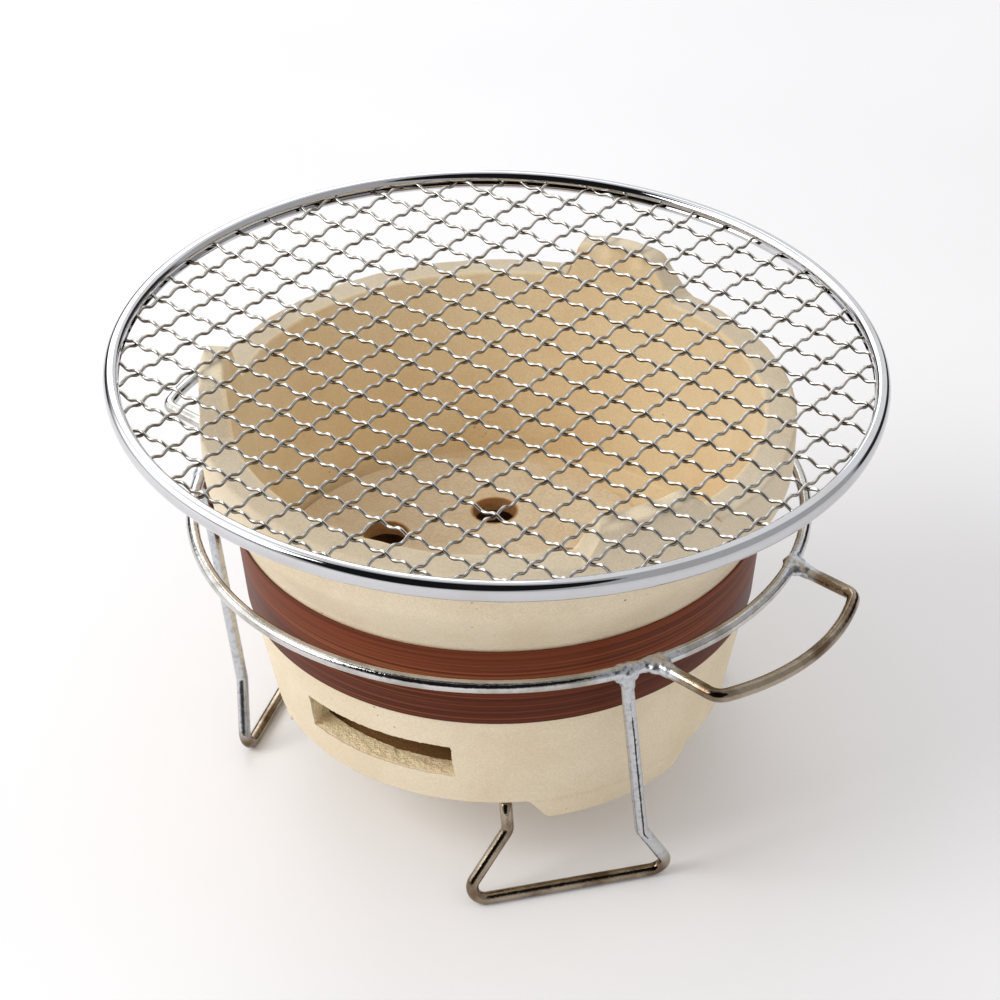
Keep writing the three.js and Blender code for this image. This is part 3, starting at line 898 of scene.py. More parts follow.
@dataclass(frozen=True)
class PlatedWire:
    """Plated steel wire, brown-tinted where bare and silvered round the welds."""

    bare: Colour = shade(166, 152, 134)
    tint: Colour = shade(108, 90, 71)
    silver: Colour = shade(204, 206, 209)
    mottle: Colour = shade(176, 178, 183)
    spot: Colour = shade(60, 60, 64)
    # painted reflection: a dark line down the front of a leg's upright stands in for the dark room
    # seen in the plating
    seam: Colour = shade(44, 42, 44)
    bare_roughness: float = 0.1
    silver_roughness: float = 0.24

    def material(self, name: str) -> bpy.types.Material:
        """Mix the finish as a material."""
        material, graph = new_material(name)
        place = graph.place()
        smears = graph.noise(place, 60, 4, 0.6)
        flecks = graph.noise(place, 520, 3, 0.6)
        edge = graph.attribute("silvered") + (smears - 0.5) * 0.5 + (flecks - 0.5) * 0.25
        silvered = graph.between(edge, 0.25, 0.7)
        plate = graph.blend(graph.between(smears, 0.38, 0.66), self.bare, self.tint)
        blotched = graph.blend(graph.between(flecks, 0.46, 0.7), self.silver, self.mottle)
        colour = graph.blend(silvered, plate, blotched)
        spots = graph.between(flecks, 0.72, 0.78)
        colour = graph.blend(spots * silvered * 0.8, colour, self.spot)
        # painted reflection: the ragged dark line darkens the colour and dulls the metal
        dark_reflection_mask = graph.between(graph.attribute("seam") + (flecks - 0.5) * 0.8, 0.42, 0.6)
        colour = graph.blend(dark_reflection_mask, colour, self.seam)
        rougher = self.silver_roughness - self.bare_roughness
        roughness = self.bare_roughness + silvered * rougher
        lumps = graph.bump(flecks, 0.22 * MM, 0.5, graph.bump(smears, 0.7 * MM, 0.3))
        graph.surface(
            {
                "Base Color": colour,
                "Metallic": 1 - dark_reflection_mask * 0.6,
                "Roughness": roughness + (smears - 0.5) * 0.12 + dark_reflection_mask * 0.3,
                "Normal": lumps,
            }
        )
        return material


@dataclass(frozen=True)
class PolishedChrome:
    """The grill rim's bright plating, with faint wipe marks."""

    body: Colour = shade(206, 207, 210)
    wiped: Colour = shade(190, 184, 176)

    def material(self, name: str) -> bpy.types.Material:
        """Mix the finish as a material."""
        material, graph = new_material(name)
        place = graph.place()
        wipes = graph.noise(place, 40, 4, 0.6)
        colour = graph.blend(graph.between(wipes, 0.4, 0.7) * 0.35, self.body, self.wiped)
        graph.surface(
            {
                "Base Color": colour,
                "Metallic": 1.0,
                "Roughness": 0.05 + graph.between(wipes, 0.45, 0.75) * 0.06,
                "Normal": graph.bump(wipes, 0.4 * MM, 0.15),
            }
        )
        return material


@dataclass(frozen=True)
class CrimpedWire:
    """The net's plated wire, with random brown smudges, and with painted shade and brown reflection
    on its undersides and in the low of each crimp.
    """

    bright: Colour = shade(210, 206, 198)
    smudge_and_shade_tone: Colour = shade(72, 60, 48)
    lie: GrillLie = GrillLie()
    wire_middle: float = 1.35 * MM

    def material(self, name: str) -> bpy.types.Material:
        """Mix the finish as a material."""
        material, graph = new_material(name)
        place = graph.place()
        up = tuple(self.lie.normal())
        height = graph.node(
            "ShaderNodeVectorMath", {"operation": "DOT_PRODUCT"}, {0: place, 1: up}, output="Value"
        )
        smears = graph.noise(place, 90, 4, 0.6)
        middle = self.lie.height * up[2] + self.wire_middle
        # painted shade: darker in the low of each crimp, under the crossing wires
        low = 1 - graph.between(height, middle - 1.2 * MM, middle + 0.2 * MM)
        _, _, facing = graph.axes(graph.node("ShaderNodeNewGeometry", output="Normal"))
        # painted shade and reflection: undersides painted dark brown where they face the bowl
        under = 1 - graph.between(facing, -0.15, 0.5)
        smeared = graph.between(smears, 0.45, 0.75)
        # the smudges are real marks; the crimp lows and undersides are painted shade
        smudge_and_shade = (low * 0.45 + under * 0.9 + smeared * 0.3).math("MINIMUM", 1.0)
        graph.surface(
            {
                "Base Color": graph.blend(smudge_and_shade, self.bright, self.smudge_and_shade_tone),
                "Metallic": 1.0,
                "Roughness": 0.1 + smears * 0.16,
                "Normal": graph.bump(smears, 0.3 * MM, 0.3),
            }
        )
        return material


# --------------------------------------------------------------------------------------------------
# Handing pieces over to the frame
# --------------------------------------------------------------------------------------------------


def hand_over(
    piece: Piece, body: Body, slot: Slot, material: bpy.types.Material, *nodes: str
) -> None:
    """Finish a piece: its material, the body that it rides on, and the nodes that it stands for.

    Args:
        piece: The modelled piece.
        body: The body that it moves with.
        slot: The record's material slot; not used.
        material: Its finish.
        *nodes: The nodes of the frame that it replaces.
    """
    Bench.clear()
    piece.data.materials.clear()
    piece.data.materials.append(material)
    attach(piece, body.value)
    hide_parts(*nodes)
    faces = sum(len(face.vertices) - 2 for face in piece.data.polygons)
    LOG.info("%s: %d triangles, rides on %s", piece.name, faces, body.value)


# --------------------------------------------------------------------------------------------------
# Wire carrier
# --------------------------------------------------------------------------------------------------


@dataclass
class Handle:
    """One handle: its azimuth, how far out it reaches, and whether its plating is bright."""

    name: str
    azimuth: float
    reach: float
    is_bright: bool


@dataclass
class WireCarrier:
    """The bent-wire carrier: a ring, three legs, two handles and their welds."""

    wire_radius: float = 2.5 * MM
    ring_radius: float = 122 * MM
    ring_height: float = 123.3 * MM
    leg_azimuth: float = 13.0
    leg_names: tuple[str, ...] = ("leg_front", "leg_rear_right", "leg_rear_left")
    bend_radius: float = 5.5 * MM
    bar_distance: float = 99.5 * MM
    bar_ends: tuple[float, float] = (46.2 * MM, -40.4 * MM)
    kink_height: float = 30.1 * MM
    outer_kink: tuple[float, float] = (31.2 * MM, 5.4 * MM)
    inner_kink: tuple[float, float] = (-19.1 * MM, -7.1 * MM)
    leg_top_along: float = 18.3 * MM
    arm_start_out: float = -10.8 * MM
    arm_height: float = 40.2 * MM
    arm_end_radius: float = 5 * MM
    handles: tuple[Handle, ...] = (
        Handle("handle_right", 46.5, 154.5 * MM, False),
        Handle("handle_left", 228.4, 161.7 * MM, True),
    )
    handle_half_width: float = 41 * MM
    grip_radius: float = 88 * MM
    handle_bend_radius: float = 6 * MM
    butt_swell: float = 1.12
    silver_reach: float = 12 * MM
    silver_fade: tuple[float, float] = (3 * MM, 19 * MM)
    # where the painted dark reflection runs down each leg's outer upright: angle about the wire,
    # half width, run and fade
    seam_angle: float = 8.0
    seam_half_width: float = 19.0
    seam_run: tuple[float, float] = (0.1, 1.05)
    seam_fade: float = 0.125

    def build(self) -> None:
        """Model every piece of the carrier and hand it over."""
        finish = PlatedWire().material("plated_wire")
        bright = PlatedWire(bare=shade(206, 204, 201), tint=shade(166, 162, 156))
        ring_finish = bright.material("bright_ring_wire")
        weld_finish = PlatedWire(silver_roughness=0.32).material("silvered_weld")
        ring = self.ring()
        Bench.mark(ring, "silvered", self.near_a_weld)
        hand_over(ring, Body.CARRIER, Slot.WIRE, ring_finish, "ring")
        for name, turn in zip(self.leg_names, self.leg_turns()):
            leg = self.leg(f"{name}_wire", turn)
            Bench.mark(leg, "silvered", lambda place, turn=turn: self.leg_silver(place, turn))
            # the second mark is the painted dark reflection down the upright
            Bench.mark(leg, "seam", lambda place, turn=turn: self.leg_dark_reflection(place, turn))
            hand_over(leg, Body.CARRIER, Slot.WIRE, finish, name)
            weld = self.leg_weld(f"weld_{name}_bead", turn)
            Bench.mark(weld, "silvered", lambda place: 1.0)
            hand_over(weld, Body.CARRIER, Slot.WELD, weld_finish, f"weld_{name}")
        for handle in self.handles:
            grip = self.handle(handle)
            grip_finish = ring_finish if handle.is_bright else finish
            Bench.mark(grip, "silvered", self.near_a_weld)
            hand_over(grip, Body.CARRIER, Slot.WIRE, grip_finish, handle.name)
            for end, side in (("a", -1), ("b", 1)):
                node = f"weld_{handle.name}_{end}"
                weld = self.handle_weld(f"{node}_bead", handle, side)
                Bench.mark(weld, "silvered", lambda place: 1.0)
                hand_over(weld, Body.CARRIER, Slot.WELD, weld_finish, node)
        hub = self.hub_weld()
        Bench.mark(hub, "silvered", lambda place: 0.6)
        hand_over(hub, Body.CARRIER, Slot.WELD, weld_finish, "weld_hub")

    def leg_turns(self) -> list[float]:
        """The azimuths of the legs."""
        count = len(self.leg_names)
        return [self.leg_azimuth + 360 / count * index for index in range(count)]

    def ring_distance(self, along: float) -> float:
        """Distance out from the axis to the ring's middle, at an offset to the side."""
        return math.sqrt(self.ring_radius**2 - along**2)

    def ring(self) -> Piece:
        """The ring, closed by a butt weld at the back."""
        start = polar(180, self.ring_radius, self.ring_height)
        bender = WireBender("ring_wire", start, Vector((1, 0, 0)), self.wire_radius)
        bender.turn(Vector((0, 0, -1)), self.ring_radius, 360, 1.875)
        ring = bender.done()
        with Bench.edit(ring):
            Bench.pick(ring, Pick.VERTS, lambda place, _: (place - start).length < 4 * MM)
            Bench.press(ring, lambda place: start + (place - start) * self.butt_swell)
        return ring

    def leg_corners(self, turn: float) -> list[tuple[Vector, float]]:
        """The corners of a leg's wire from the ring to the hub, with their bend radii."""

        def at(
            along: float, out: float, height: float, bend: float = self.bend_radius
        ) -> tuple[Vector, float]:
            """A corner at an offset along and out from the ground bar."""
            return spun(Vector((along, -(self.bar_distance + out), height)), turn), bend

        top_out = self.ring_distance(self.leg_top_along) - self.bar_distance
        arm_out = self.bar_distance + self.arm_start_out
        inwards = Vector((self.inner_kink[0], -arm_out, 0)).normalized() * self.arm_end_radius
        return [
            at(self.leg_top_along, top_out, self.ring_height - self.wire_radius * 0.7, 0),
            at(*self.outer_kink, self.kink_height),
            at(self.bar_ends[0], 0, self.wire_radius),
            at(self.bar_ends[1], 0, self.wire_radius),
            at(*self.inner_kink, self.kink_height),
            at(self.inner_kink[0], self.arm_start_out, self.arm_height),
            (spun(inwards + Vector((0, 0, self.arm_height)), turn), 0),
        ]

    def leg(self, name: str, turn: float) -> Piece:
        """One leg, bent from a single wire."""
        corners = self.leg_corners(turn)
        heading = corners[1][0] - corners[0][0]
        bender = WireBender(name, corners[0][0], heading, self.wire_radius)
        return bender.follow(corners[1:]).done()

    def leg_silver(self, place: Vector, turn: float) -> float:
        """How silvered a leg is: fully down its outer upright, not at all past its foot."""
        along = spun(place, -turn).x / self.bar_ends[0]
        low, high = self.silver_fade
        silver = min(1.0, max(0.0, (place.z - low) / (high - low)))
        return silver if along > 0.2 else 0.0

    def leg_dark_reflection(self, place: Vector, turn: float) -> float:
        """How near a place is to the painted dark reflection down the front of a leg's outer
        upright, from 0 to 1.
        """
        own = spun(place, -turn)
        top, kink = (spun(corner, -turn) for corner, _ in self.leg_corners(turn)[:2])
        share = (top.z - own.z) / (top.z - kink.z)
        first, last = self.seam_run
        if own.x < 0 or not first < share < last:
            return 0.0
        aside = own - top.lerp(kink, share)
        near = max(0.0, 1 - abs(azimuth_of(aside) - self.seam_angle) / self.seam_half_width)
        return near * min(1.0, (share - first) / self.seam_fade)

    def joint_places(self) -> list[Vector]:
        """Where legs and handles meet the ring."""
        places = [self.joint(turn, self.leg_top_along) for turn in self.leg_turns()]
        for handle in self.handles:
            places.append(self.joint(handle.azimuth, -self.handle_half_width))
            places.append(self.joint(handle.azimuth, self.handle_half_width))
        return places

    def joint(self, turn: float, along: float) -> Vector:
        """A place on the ring's middle line, at an offset to the side of an azimuth."""
        return spun(Vector((along, -self.ring_distance(along), self.ring_height)), turn)

    def near_a_weld(self, place: Vector) -> float:
        """1 at a weld, falling to 0 a little further away than the silver reaches."""
        nearest = min((place - joint).length for joint in self.joint_places())
        return min(1.0, max(0.0, 1.5 - nearest / self.silver_reach))

    def handle(self, handle: Handle) -> Piece:
        """One handle, bent from a single wire: stub, bowed grip, stub."""
        half, bend = self.handle_half_width, self.handle_bend_radius
        bow = math.asin((half - bend) / (self.grip_radius - bend))
        corner = 90 - math.degrees(bow)
        rise = self.grip_radius * (1 - math.cos(bow)) + bend * math.cos(bow)
        start = self.ring_distance(half) + self.wire_radius * 0.5
        stub = handle.reach - rise - start
        first = spun(Vector((-half, -start, self.ring_height)), handle.azimuth)
        outwards = spun(Vector((0, -1, 0)), handle.azimuth)
        bender = WireBender(f"{handle.name}_wire", first, outwards, self.wire_radius)
        up = Vector((0, 0, 1))
        bender.feed(stub, 3).turn(up, bend, corner)
        bender.turn(up, self.grip_radius, 2 * math.degrees(bow), 2.5)
        bender.turn(up, bend, corner).feed(stub, 3)
        return bender.done()

    def bead(
        self,
        name: str,
        lumps: Sequence[tuple[Vector, Vector, Vector]],
        voxel: float = 0.35 * MM,
    ) -> Piece:
        """Melt lumps into one bead of weld metal.

        Args:
            name: The bead's name.
            lumps: Each lump's middle, its long direction, and its half sizes: long, level, upright.
            voxel: The fineness of the melt.

        Returns:
            The bead, closed and lumpy.
        """
        parts = []
        for index, (middle, along, half) in enumerate(lumps):
            Bench.clear()
            bpy.ops.mesh.primitive_ico_sphere_add(subdivisions=4, radius=1, location=(0, 0, 0))
            part = Bench.settle(f"{name}_{index}")
            level = Vector((-along.y, along.x, 0))
            level = level.normalized() if level.length > 1e-6 else Vector((0, 1, 0))
            upright = along.normalized().cross(level)
            rows = (along.normalized() * half.x, level * half.y, upright * half.z)
            axes = Matrix(rows).transposed().to_4x4()
            part.data.transform(Matrix.Translation(middle) @ axes)
            parts.append(part)
        bead = Bench.join(name, *parts)
        Bench.tool(bead, "REMESH", mode="VOXEL", voxel_size=voxel)
        Bench.tool(bead, "SMOOTH", factor=0.5, iterations=9)
        Bench.roughen(bead, 2.2 * MM, 0.5 * MM, middle.x + middle.y)
        with Bench.edit(bead):
            Bench.face_out()
        Bench.smooth(bead, 60)
        return bead

    def leg_weld(self, name: str, turn: float) -> Piece:
        """The bead where a leg meets the underside of the ring."""
        place = self.joint(turn, self.leg_top_along)
        corners = self.leg_corners(turn)
        down = (corners[1][0] - corners[0][0]).normalized()
        along = Vector((-place.y, place.x, 0)).normalized()
        outwards = Vector((place.x, place.y, 0)).normalized()
        return self.bead(
            name,
            [
                (place, along, half_sizes(9.0, 3.0, 3.0)),
                (place + down * 5 * MM, down, half_sizes(8.5, 3.0, 3.0)),
                (place + down * 3.0 * MM, along, half_sizes(4.9, 2.9, 3.0)),
                (place + outwards * 1.4 * MM + down * 0.6 * MM, along, half_sizes(2.6, 2.3, 2.2)),
                (place + outwards * 1.9 * MM + along * 1.2 * MM, along, half_sizes(1.5, 1.5, 1.6)),
            ],
        )

    def handle_weld(self, name: str, handle: Handle, side: int) -> Piece:
        """The bead where one end of a handle meets the outside of the ring."""
        place = self.joint(handle.azimuth, side * self.handle_half_width)
        along = Vector((-place.y, place.x, 0)).normalized()
        out = polar(handle.azimuth, 1, 0)
        up = Vector((0, 0, 1))
        return self.bead(
            name,
            [
                (place, along, half_sizes(9.0, 3.0, 3.0)),
                (place + out * 4.5 * MM, out, half_sizes(8.5, 3.0, 3.0)),
                (place + out * 2.8 * MM, along, half_sizes(4.9, 3.4, 2.9)),
                (place + out * 2 * MM + up * 1.3 * MM, along, half_sizes(2.4, 2.0, 1.9)),
                (place + out * MM + along * side * 2.4 * MM, along, half_sizes(1.8, 2.2, 2.6)),
            ],
        )

    def hub_weld(self) -> Piece:
        """The bead under the bowl, where the three arms meet."""
        middle = Vector((0, 0, self.arm_height))
        lumps = [(middle, Vector((1, 0, 0)), half_sizes(7.5, 7.5, 2.3))]
        for turn in self.leg_turns():
            arm = self.leg_corners(turn)[-1][0]
            flat = Vector((arm.x, arm.y, 0)).normalized()
            lumps.append((middle + flat * 6 * MM, flat, half_sizes(6, 2.9, 2.3)))
        return self.bead("weld_hub_bead", lumps, 0.5 * MM)


# --------------------------------------------------------------------------------------------------
# Fire bowl
# --------------------------------------------------------------------------------------------------


@dataclass(frozen=True)
class Level:
    """One level of a raised lug or foot: its rise, half length, and inner and outer radius.

    A foot's half length is in metres. A lug's is a share of the way from its root to its top.
    """

    rise: float
    half_length: float
    inner: float
    outer: float


@dataclass(frozen=True)
class Lug:
    """One lug: its azimuth, and at either end how far its top and root reach and how worn it is."""

    azimuth: float
    ends: tuple[float, float] = (16.3 * MM, 16.3 * MM)
    wear: tuple[float, float] = (0.0, 0.0)
    roots: tuple[float, float] = (25.9 * MM, 25.9 * MM)


@dataclass
class FireBowl:
    """The earthenware bowl, with its lugs, feet and air slot, and the band round its waist."""

    steps: int = 96
    lie: GrillLie = GrillLie()
    base: float = 43 * MM
    base_radius: float = 94 * MM
    rim_height: float = 168 * MM
    collar_radius: float = 115.8 * MM
    collar_bottom: float = 147 * MM
    rim_inner: float = 103.2 * MM
    rim_edge: float = 1.5 * MM
    ledge_height: float = 82 * MM
    ledge_outer: float = 95.6 * MM
    ledge_inner: float = 64 * MM
    chamber_floor: float = 56 * MM
    chamber_radius: float = 62 * MM
    band_bottom: float = 90 * MM
    band_top: float = 125.7 * MM
    band_radii: tuple[float, float] = (102.9 * MM, 105.5 * MM)
    band_thickness: float = 0.8 * MM
    lugs: tuple[Lug, ...] = (
        Lug(30.0, (21.5 * MM, 16.3 * MM), (0.6 * MM, 0.0), (30.0 * MM, 25.9 * MM)),
        Lug(150.0, (12.6 * MM, 19.8 * MM), (0.3 * MM, 2.9 * MM), (30.0 * MM, 25.9 * MM)),
        Lug(270.0, (12.4 * MM, 16.6 * MM), (1.8 * MM, 0.5 * MM), (22.5 * MM, 25.9 * MM)),
    )
    lug_half_angle: float = 13.2
    foot_half_angle: float = 22.6
    foot_radii: tuple[float, float] = (72 * MM, 92.6 * MM)
    vent_azimuth: float = -30.0
    vent_width: float = 64 * MM
    vent_bottom: float = 57.7 * MM
    vent_height: float = 16.8 * MM
    vent_reach: float = 87.6 * MM
    wear_seed: int = 3
    vent_cut_radius: float = 96.5 * MM
    vent_cut_depth: float = 30 * MM
    passage_radius: float = 50 * MM
    passage_depth: float = 100 * MM
    dents: tuple[tuple[float, float, float], ...] = (
        (155.0, 104.6 * MM, 183.2 * MM),
        (147.5, 104.6 * MM, 182.6 * MM),
    )

    def build(self) -> None:
        """Model the bowl and the band and hand them over."""
        bowl = self.bowl()
        hand_over(bowl, Body.BOWL, Slot.CLAY, MouldedClay().material("moulded_clay"), "bowl")
        finish = StreakedBand().material("streaked_band")
        hand_over(self.band(), Body.BOWL, Slot.BAND, finish, "waist_band")

    def profile(self) -> list[tuple[float, float]]:
        """The bowl's section, from the middle of its underside to that of its chamber floor."""
        gap = self.band_thickness + 0.2 * MM
        return rounded(
            [
                (0, self.base, 0),
                (self.foot_radii[0], self.base, 0),
                (self.foot_radii[1], self.base, 0),
                (self.base_radius, self.base, 1.1 * MM),
                (self.band_radii[0] - gap, self.band_bottom, 0),
                (self.band_radii[1] - gap, self.band_top, 0),
                (self.band_radii[1] - gap + 0.25 * MM, self.band_top + 3 * MM, 5 * MM),
                (self.collar_radius, self.collar_bottom, 9 * MM),
                (self.collar_radius, self.rim_height, self.rim_edge),
                (self.rim_inner, self.rim_height, self.rim_edge),
                (self.ledge_outer, self.ledge_height, 1.5 * MM),
                (self.ledge_inner, self.ledge_height, 1.2 * MM),
                (self.chamber_radius, self.chamber_floor, 3 * MM),
                (0, self.chamber_floor, 0),
            ]
        )

    def lug_levels(self, rise: float) -> list[Level]:
        """The levels of a lug, from its root on the rim to its flat top.

        Args:
            rise: The height of its top above the rim.

        Returns:
            The levels from low to high; each half length is a share of the way from root to top.
        """
        top = rise / MM
        sizes = [(-1.2, 0.0, 103.25, 115.75), (0.2, 0.13, 103.4, 115.5), (1.1, 0.22, 103.6, 115.3)]
        flank = ((1.1, top - 2.1), (0.22, 0.85), (103.6, 104.5), (115.3, 114.5))
        for index in range(1, 7):
            sizes.append(tuple(lerp(low, high, index / 6) for low, high in flank))
        sizes += [
            (top - 1.1, 0.93, 104.9, 114.1),
            (top - 0.4, 1.0, 105.5, 113.5),
            (top - 0.1, 1.1, 106.3, 112.7),
            (top, 1.24, 107.3, 111.7),
        ]
        return [
            Level(rise * MM, share, inner * MM, outer * MM) for rise, share, inner, outer in sizes
        ]

    def foot_levels(self) -> list[Level]:
        """The levels of a foot, from its root under the base down to its tip."""
        sizes = [(-0.6, 34.4, 72.4, 92.9), (-2.4, 32.6, 72.6, 92.8), (-6.2, 30.2, 72.8, 92.2)]
        sizes += [(-9.8, 27.8, 73.4, 91.6), (-11.4, 26.4, 74.2, 90.9), (-12.0, 25.0, 75.4, 89.6)]
        return [Level(*(value * MM for value in size)) for size in sizes]

    def raise_block(
        self,
        piece: Piece,
        middle: float,
        wanted: Callable[[Vector, Vector], bool],
        levels: Sequence[Level],
        height: Callable[[Vector, float], float],
        reach: Callable[[float, float], float],
    ) -> None:
        """Raise a lug or foot from faces of the bowl, level by level.

        Args:
            piece: One third of the bowl.
            middle: The azimuth of the lug's or foot's middle.
            wanted: Picks the faces that it grows from.
            levels: The levels that it passes through.
            height: Gives a vertex's height from its place and its level's rise.
            reach: Gives the half length on the side of a sign, from the level's half length.
        """
        with Bench.edit(piece, Pick.FACES):
            Bench.pick(piece, Pick.FACES, wanted)
            mesh = bmesh.from_edit_mesh(piece.data)
            places = [vert.co.copy() for vert in mesh.verts if vert.select]
            inner = min(flat_radius(place) for place in places)
            outer = max(flat_radius(place) for place in places)
            turns = [angle_apart(azimuth_of(place), middle) for place in places]
            widest = {-1.0: -min(turns), 1.0: max(turns)}
            for level in levels:
                Bench.pull(Vector((0, 0, 0.01 * MM)))
                mean = (level.inner + level.outer) / 2
                new_widest = {
                    side: math.degrees(reach(level.half_length, side) / mean)
                    for side in (-1.0, 1.0)
                }

                def settle(place: Vector) -> Vector:
                    """Put a vertex on this level, at its own share of the length and depth."""
                    apart = angle_apart(azimuth_of(place), middle)
                    side = math.copysign(1.0, apart)
                    depth = (flat_radius(place) - inner) / (outer - inner)
                    radius = lerp(level.inner, level.outer, depth)
                    turn = apart / widest[side] * new_widest[side]
                    moved = polar(middle + turn, radius, 0)
                    moved.z = height(moved, level.rise)
                    return moved

                Bench.press(piece, settle)
                inner, outer, widest = level.inner, level.outer, new_widest

    def add_lug(self, piece: Piece, lug: Lug) -> None:
        """Raise a lug up to the tilted grill, lower where it is worn."""
        centre = polar(lug.azimuth, (self.rim_inner + self.collar_radius) / 2, 0)
        rise = self.lie.above(centre) - self.lie.gap - self.rim_height

        def wanted(place: Vector, look: Vector) -> bool:
            """The rim's top and its rounded edges, within the lug's width."""
            is_rim = look.z > 0.05 and place.z > self.rim_height - self.rim_edge * 0.99
            return is_rim and abs(angle_apart(azimuth_of(place), lug.azimuth)) < self.lug_half_angle

        def height(place: Vector, level_rise: float) -> float:
            """A level's height, sheared so that the lug's top follows the grill and its wear."""
            apart = angle_apart(azimuth_of(place), lug.azimuth)
            end = 1 if apart > 0 else 0
            share = abs(math.radians(apart)) * flat_radius(place) / lug.ends[end]
            worn = lug.wear[end] * min(1.2, share) ** 2
            slope = self.lie.above(place) - self.lie.above(centre) - worn
            return self.rim_height + level_rise + slope * max(0.0, level_rise / rise)

        def reach(share: float, side: float) -> float:
            """The reach between root and top; a share above 1 draws the top's edge in."""
            end = 1 if side > 0 else 0
            if share > 1:
                return lug.ends[end] * (2 - share)
            return lerp(lug.roots[end], lug.ends[end], share)

        self.raise_block(piece, lug.azimuth, wanted, self.lug_levels(rise), height, reach)

    def add_foot(self, piece: Piece, middle: float) -> None:
        """Lower the foot at an azimuth."""

        def wanted(place: Vector, look: Vector) -> bool:
            """The ring of the underside that feet grow from, within a foot's width."""
            low, high = self.foot_radii
            is_under = look.z < -0.99 and low < flat_radius(place) < high
            return is_under and abs(angle_apart(azimuth_of(place), middle)) < self.foot_half_angle

        self.raise_block(
            piece,
            middle,
            wanted,
            self.foot_levels(),
            lambda _, rise: self.base + rise,
            lambda length, _: length,
        )

    def third(self) -> Piece:
        """One third of the bowl, with its foot at azimuth 0."""
        third = Bench.turned("bowl_third", self.profile(), self.steps, 120)
        self.add_foot(third, 0.0)
        return third

    def bowl(self) -> Piece:
        """The whole bowl, with the air slot cut."""
        third = self.third()
        parts = []
        for index, lug in enumerate(self.lugs):
            turn = Matrix.Rotation(math.radians(lug.azimuth), 4, "Z")
            part = Bench.copy(third, f"bowl_part_{index}", turn)
            self.add_lug(part, lug)
            parts.append(part)
        bpy.data.objects.remove(third)
        bowl = Bench.join("fire_bowl", *parts)
        with Bench.edit(bowl):
            Bench.merge(0.02 * MM)
            Bench.face_out()
        self.wear(bowl)
        Bench.cut(bowl, self.slot_cutter())
        Bench.cut(bowl, self.passage_cutter())
        Bench.smooth(bowl, 32)
        return bowl

    def wear(self, bowl: Piece) -> None:
        """Make rim and lugs a little uneven, and press two dents into the lug at the back right."""
        dents = [polar(*dent) for dent in self.dents]
        with Bench.edit(bowl):
            Bench.pick(bowl, Pick.VERTS, lambda place, _: place.z > self.rim_height - 4 * MM)
            noise.seed_set(self.wear_seed)

            def uneven(place: Vector) -> Vector:
                """Push a vertex about by a soft noise, and into a dent where it is near one."""
                soft = noise.noise_vector(place / (9 * MM)) * 0.3 * MM
                fine = noise.noise_vector(place / (3.5 * MM)) * 0.16 * MM
                moved = place + soft + fine
                for dent in dents:
                    near = max(0.0, 1 - (place - dent).length / (5.5 * MM))
                    moved += polar(azimuth_of(dent), near * 1.6 * MM, -near * 1.1 * MM)
                moved.z = min(moved.z, self.lie.above(moved) - self.lie.gap / 2)
                return moved

            Bench.press(bowl, uneven)

    def vent_block(self, name: str, middle: Vector, sizes: tuple[float, float, float]) -> Piece:
        """A block that looks along the air slot: its middle, and its width, depth and height."""
        Bench.clear()
        turn = (0, 0, math.radians(self.vent_azimuth))
        bpy.ops.mesh.primitive_cube_add(size=1, location=middle, rotation=turn)
        bpy.context.view_layer.objects.active.scale = sizes
        return Bench.settle(name)

    def slot_cutter(self) -> Piece:
        """The rough block that leaves the air slot with crumbled walls."""
        height = self.vent_bottom + self.vent_height / 2
        middle = polar(self.vent_azimuth, self.vent_cut_radius, height)
        sizes = (self.vent_width, self.vent_cut_depth, self.vent_height)
        cutter = self.vent_block("slot_cutter", middle, sizes)
        Bench.tool(cutter, "REMESH", mode="VOXEL", voxel_size=0.65 * MM)
        Bench.roughen(cutter, 3.0 * MM, 0.9 * MM)
        Bench.roughen(cutter, 1.0 * MM, 0.8 * MM, 0.02)
        return cutter

    def passage_cutter(self) -> Piece:
        """The neat block that opens the slot into the ash chamber, with a round outer end."""
        half = self.vent_width / 2 + 1.5 * MM
        floor, roof = self.chamber_floor, self.ledge_height - 4 * MM
        height = (floor + roof) / 2
        middle = polar(self.vent_azimuth, self.passage_radius, height)
        sizes = (2 * half, self.passage_depth, roof - floor)
        cutter = self.vent_block("passage_cutter", middle, sizes)
        Bench.clear()
        bpy.ops.mesh.primitive_cylinder_add(
            vertices=192, radius=self.vent_reach, depth=80 * MM, location=(0, 0, height)
        )
        Bench.cut(cutter, Bench.settle("passage_end"), "INTERSECT")
        return cutter

    def band(self) -> Piece:
        """The thin band, with soft edges."""
        low, high = self.band_radii
        edge = 0.3 * MM
        inner_low, inner_high = low - self.band_thickness, high - self.band_thickness
        middle = (self.band_bottom + self.band_top) / 2
        inside = (inner_low + inner_high) / 2
        section = rounded(
            [
                (inside, middle, 0),
                (inner_low, self.band_bottom, edge),
                (low, self.band_bottom, edge),
                (high, self.band_top, edge),
                (inner_high, self.band_top, edge),
                (inside, middle, 0),
            ],
            30,
        )
        band = Bench.turned("waist_band_shell", section, 192)
        Bench.smooth(band, 40)
        return band


# --------------------------------------------------------------------------------------------------
# Grate and grill
# --------------------------------------------------------------------------------------------------


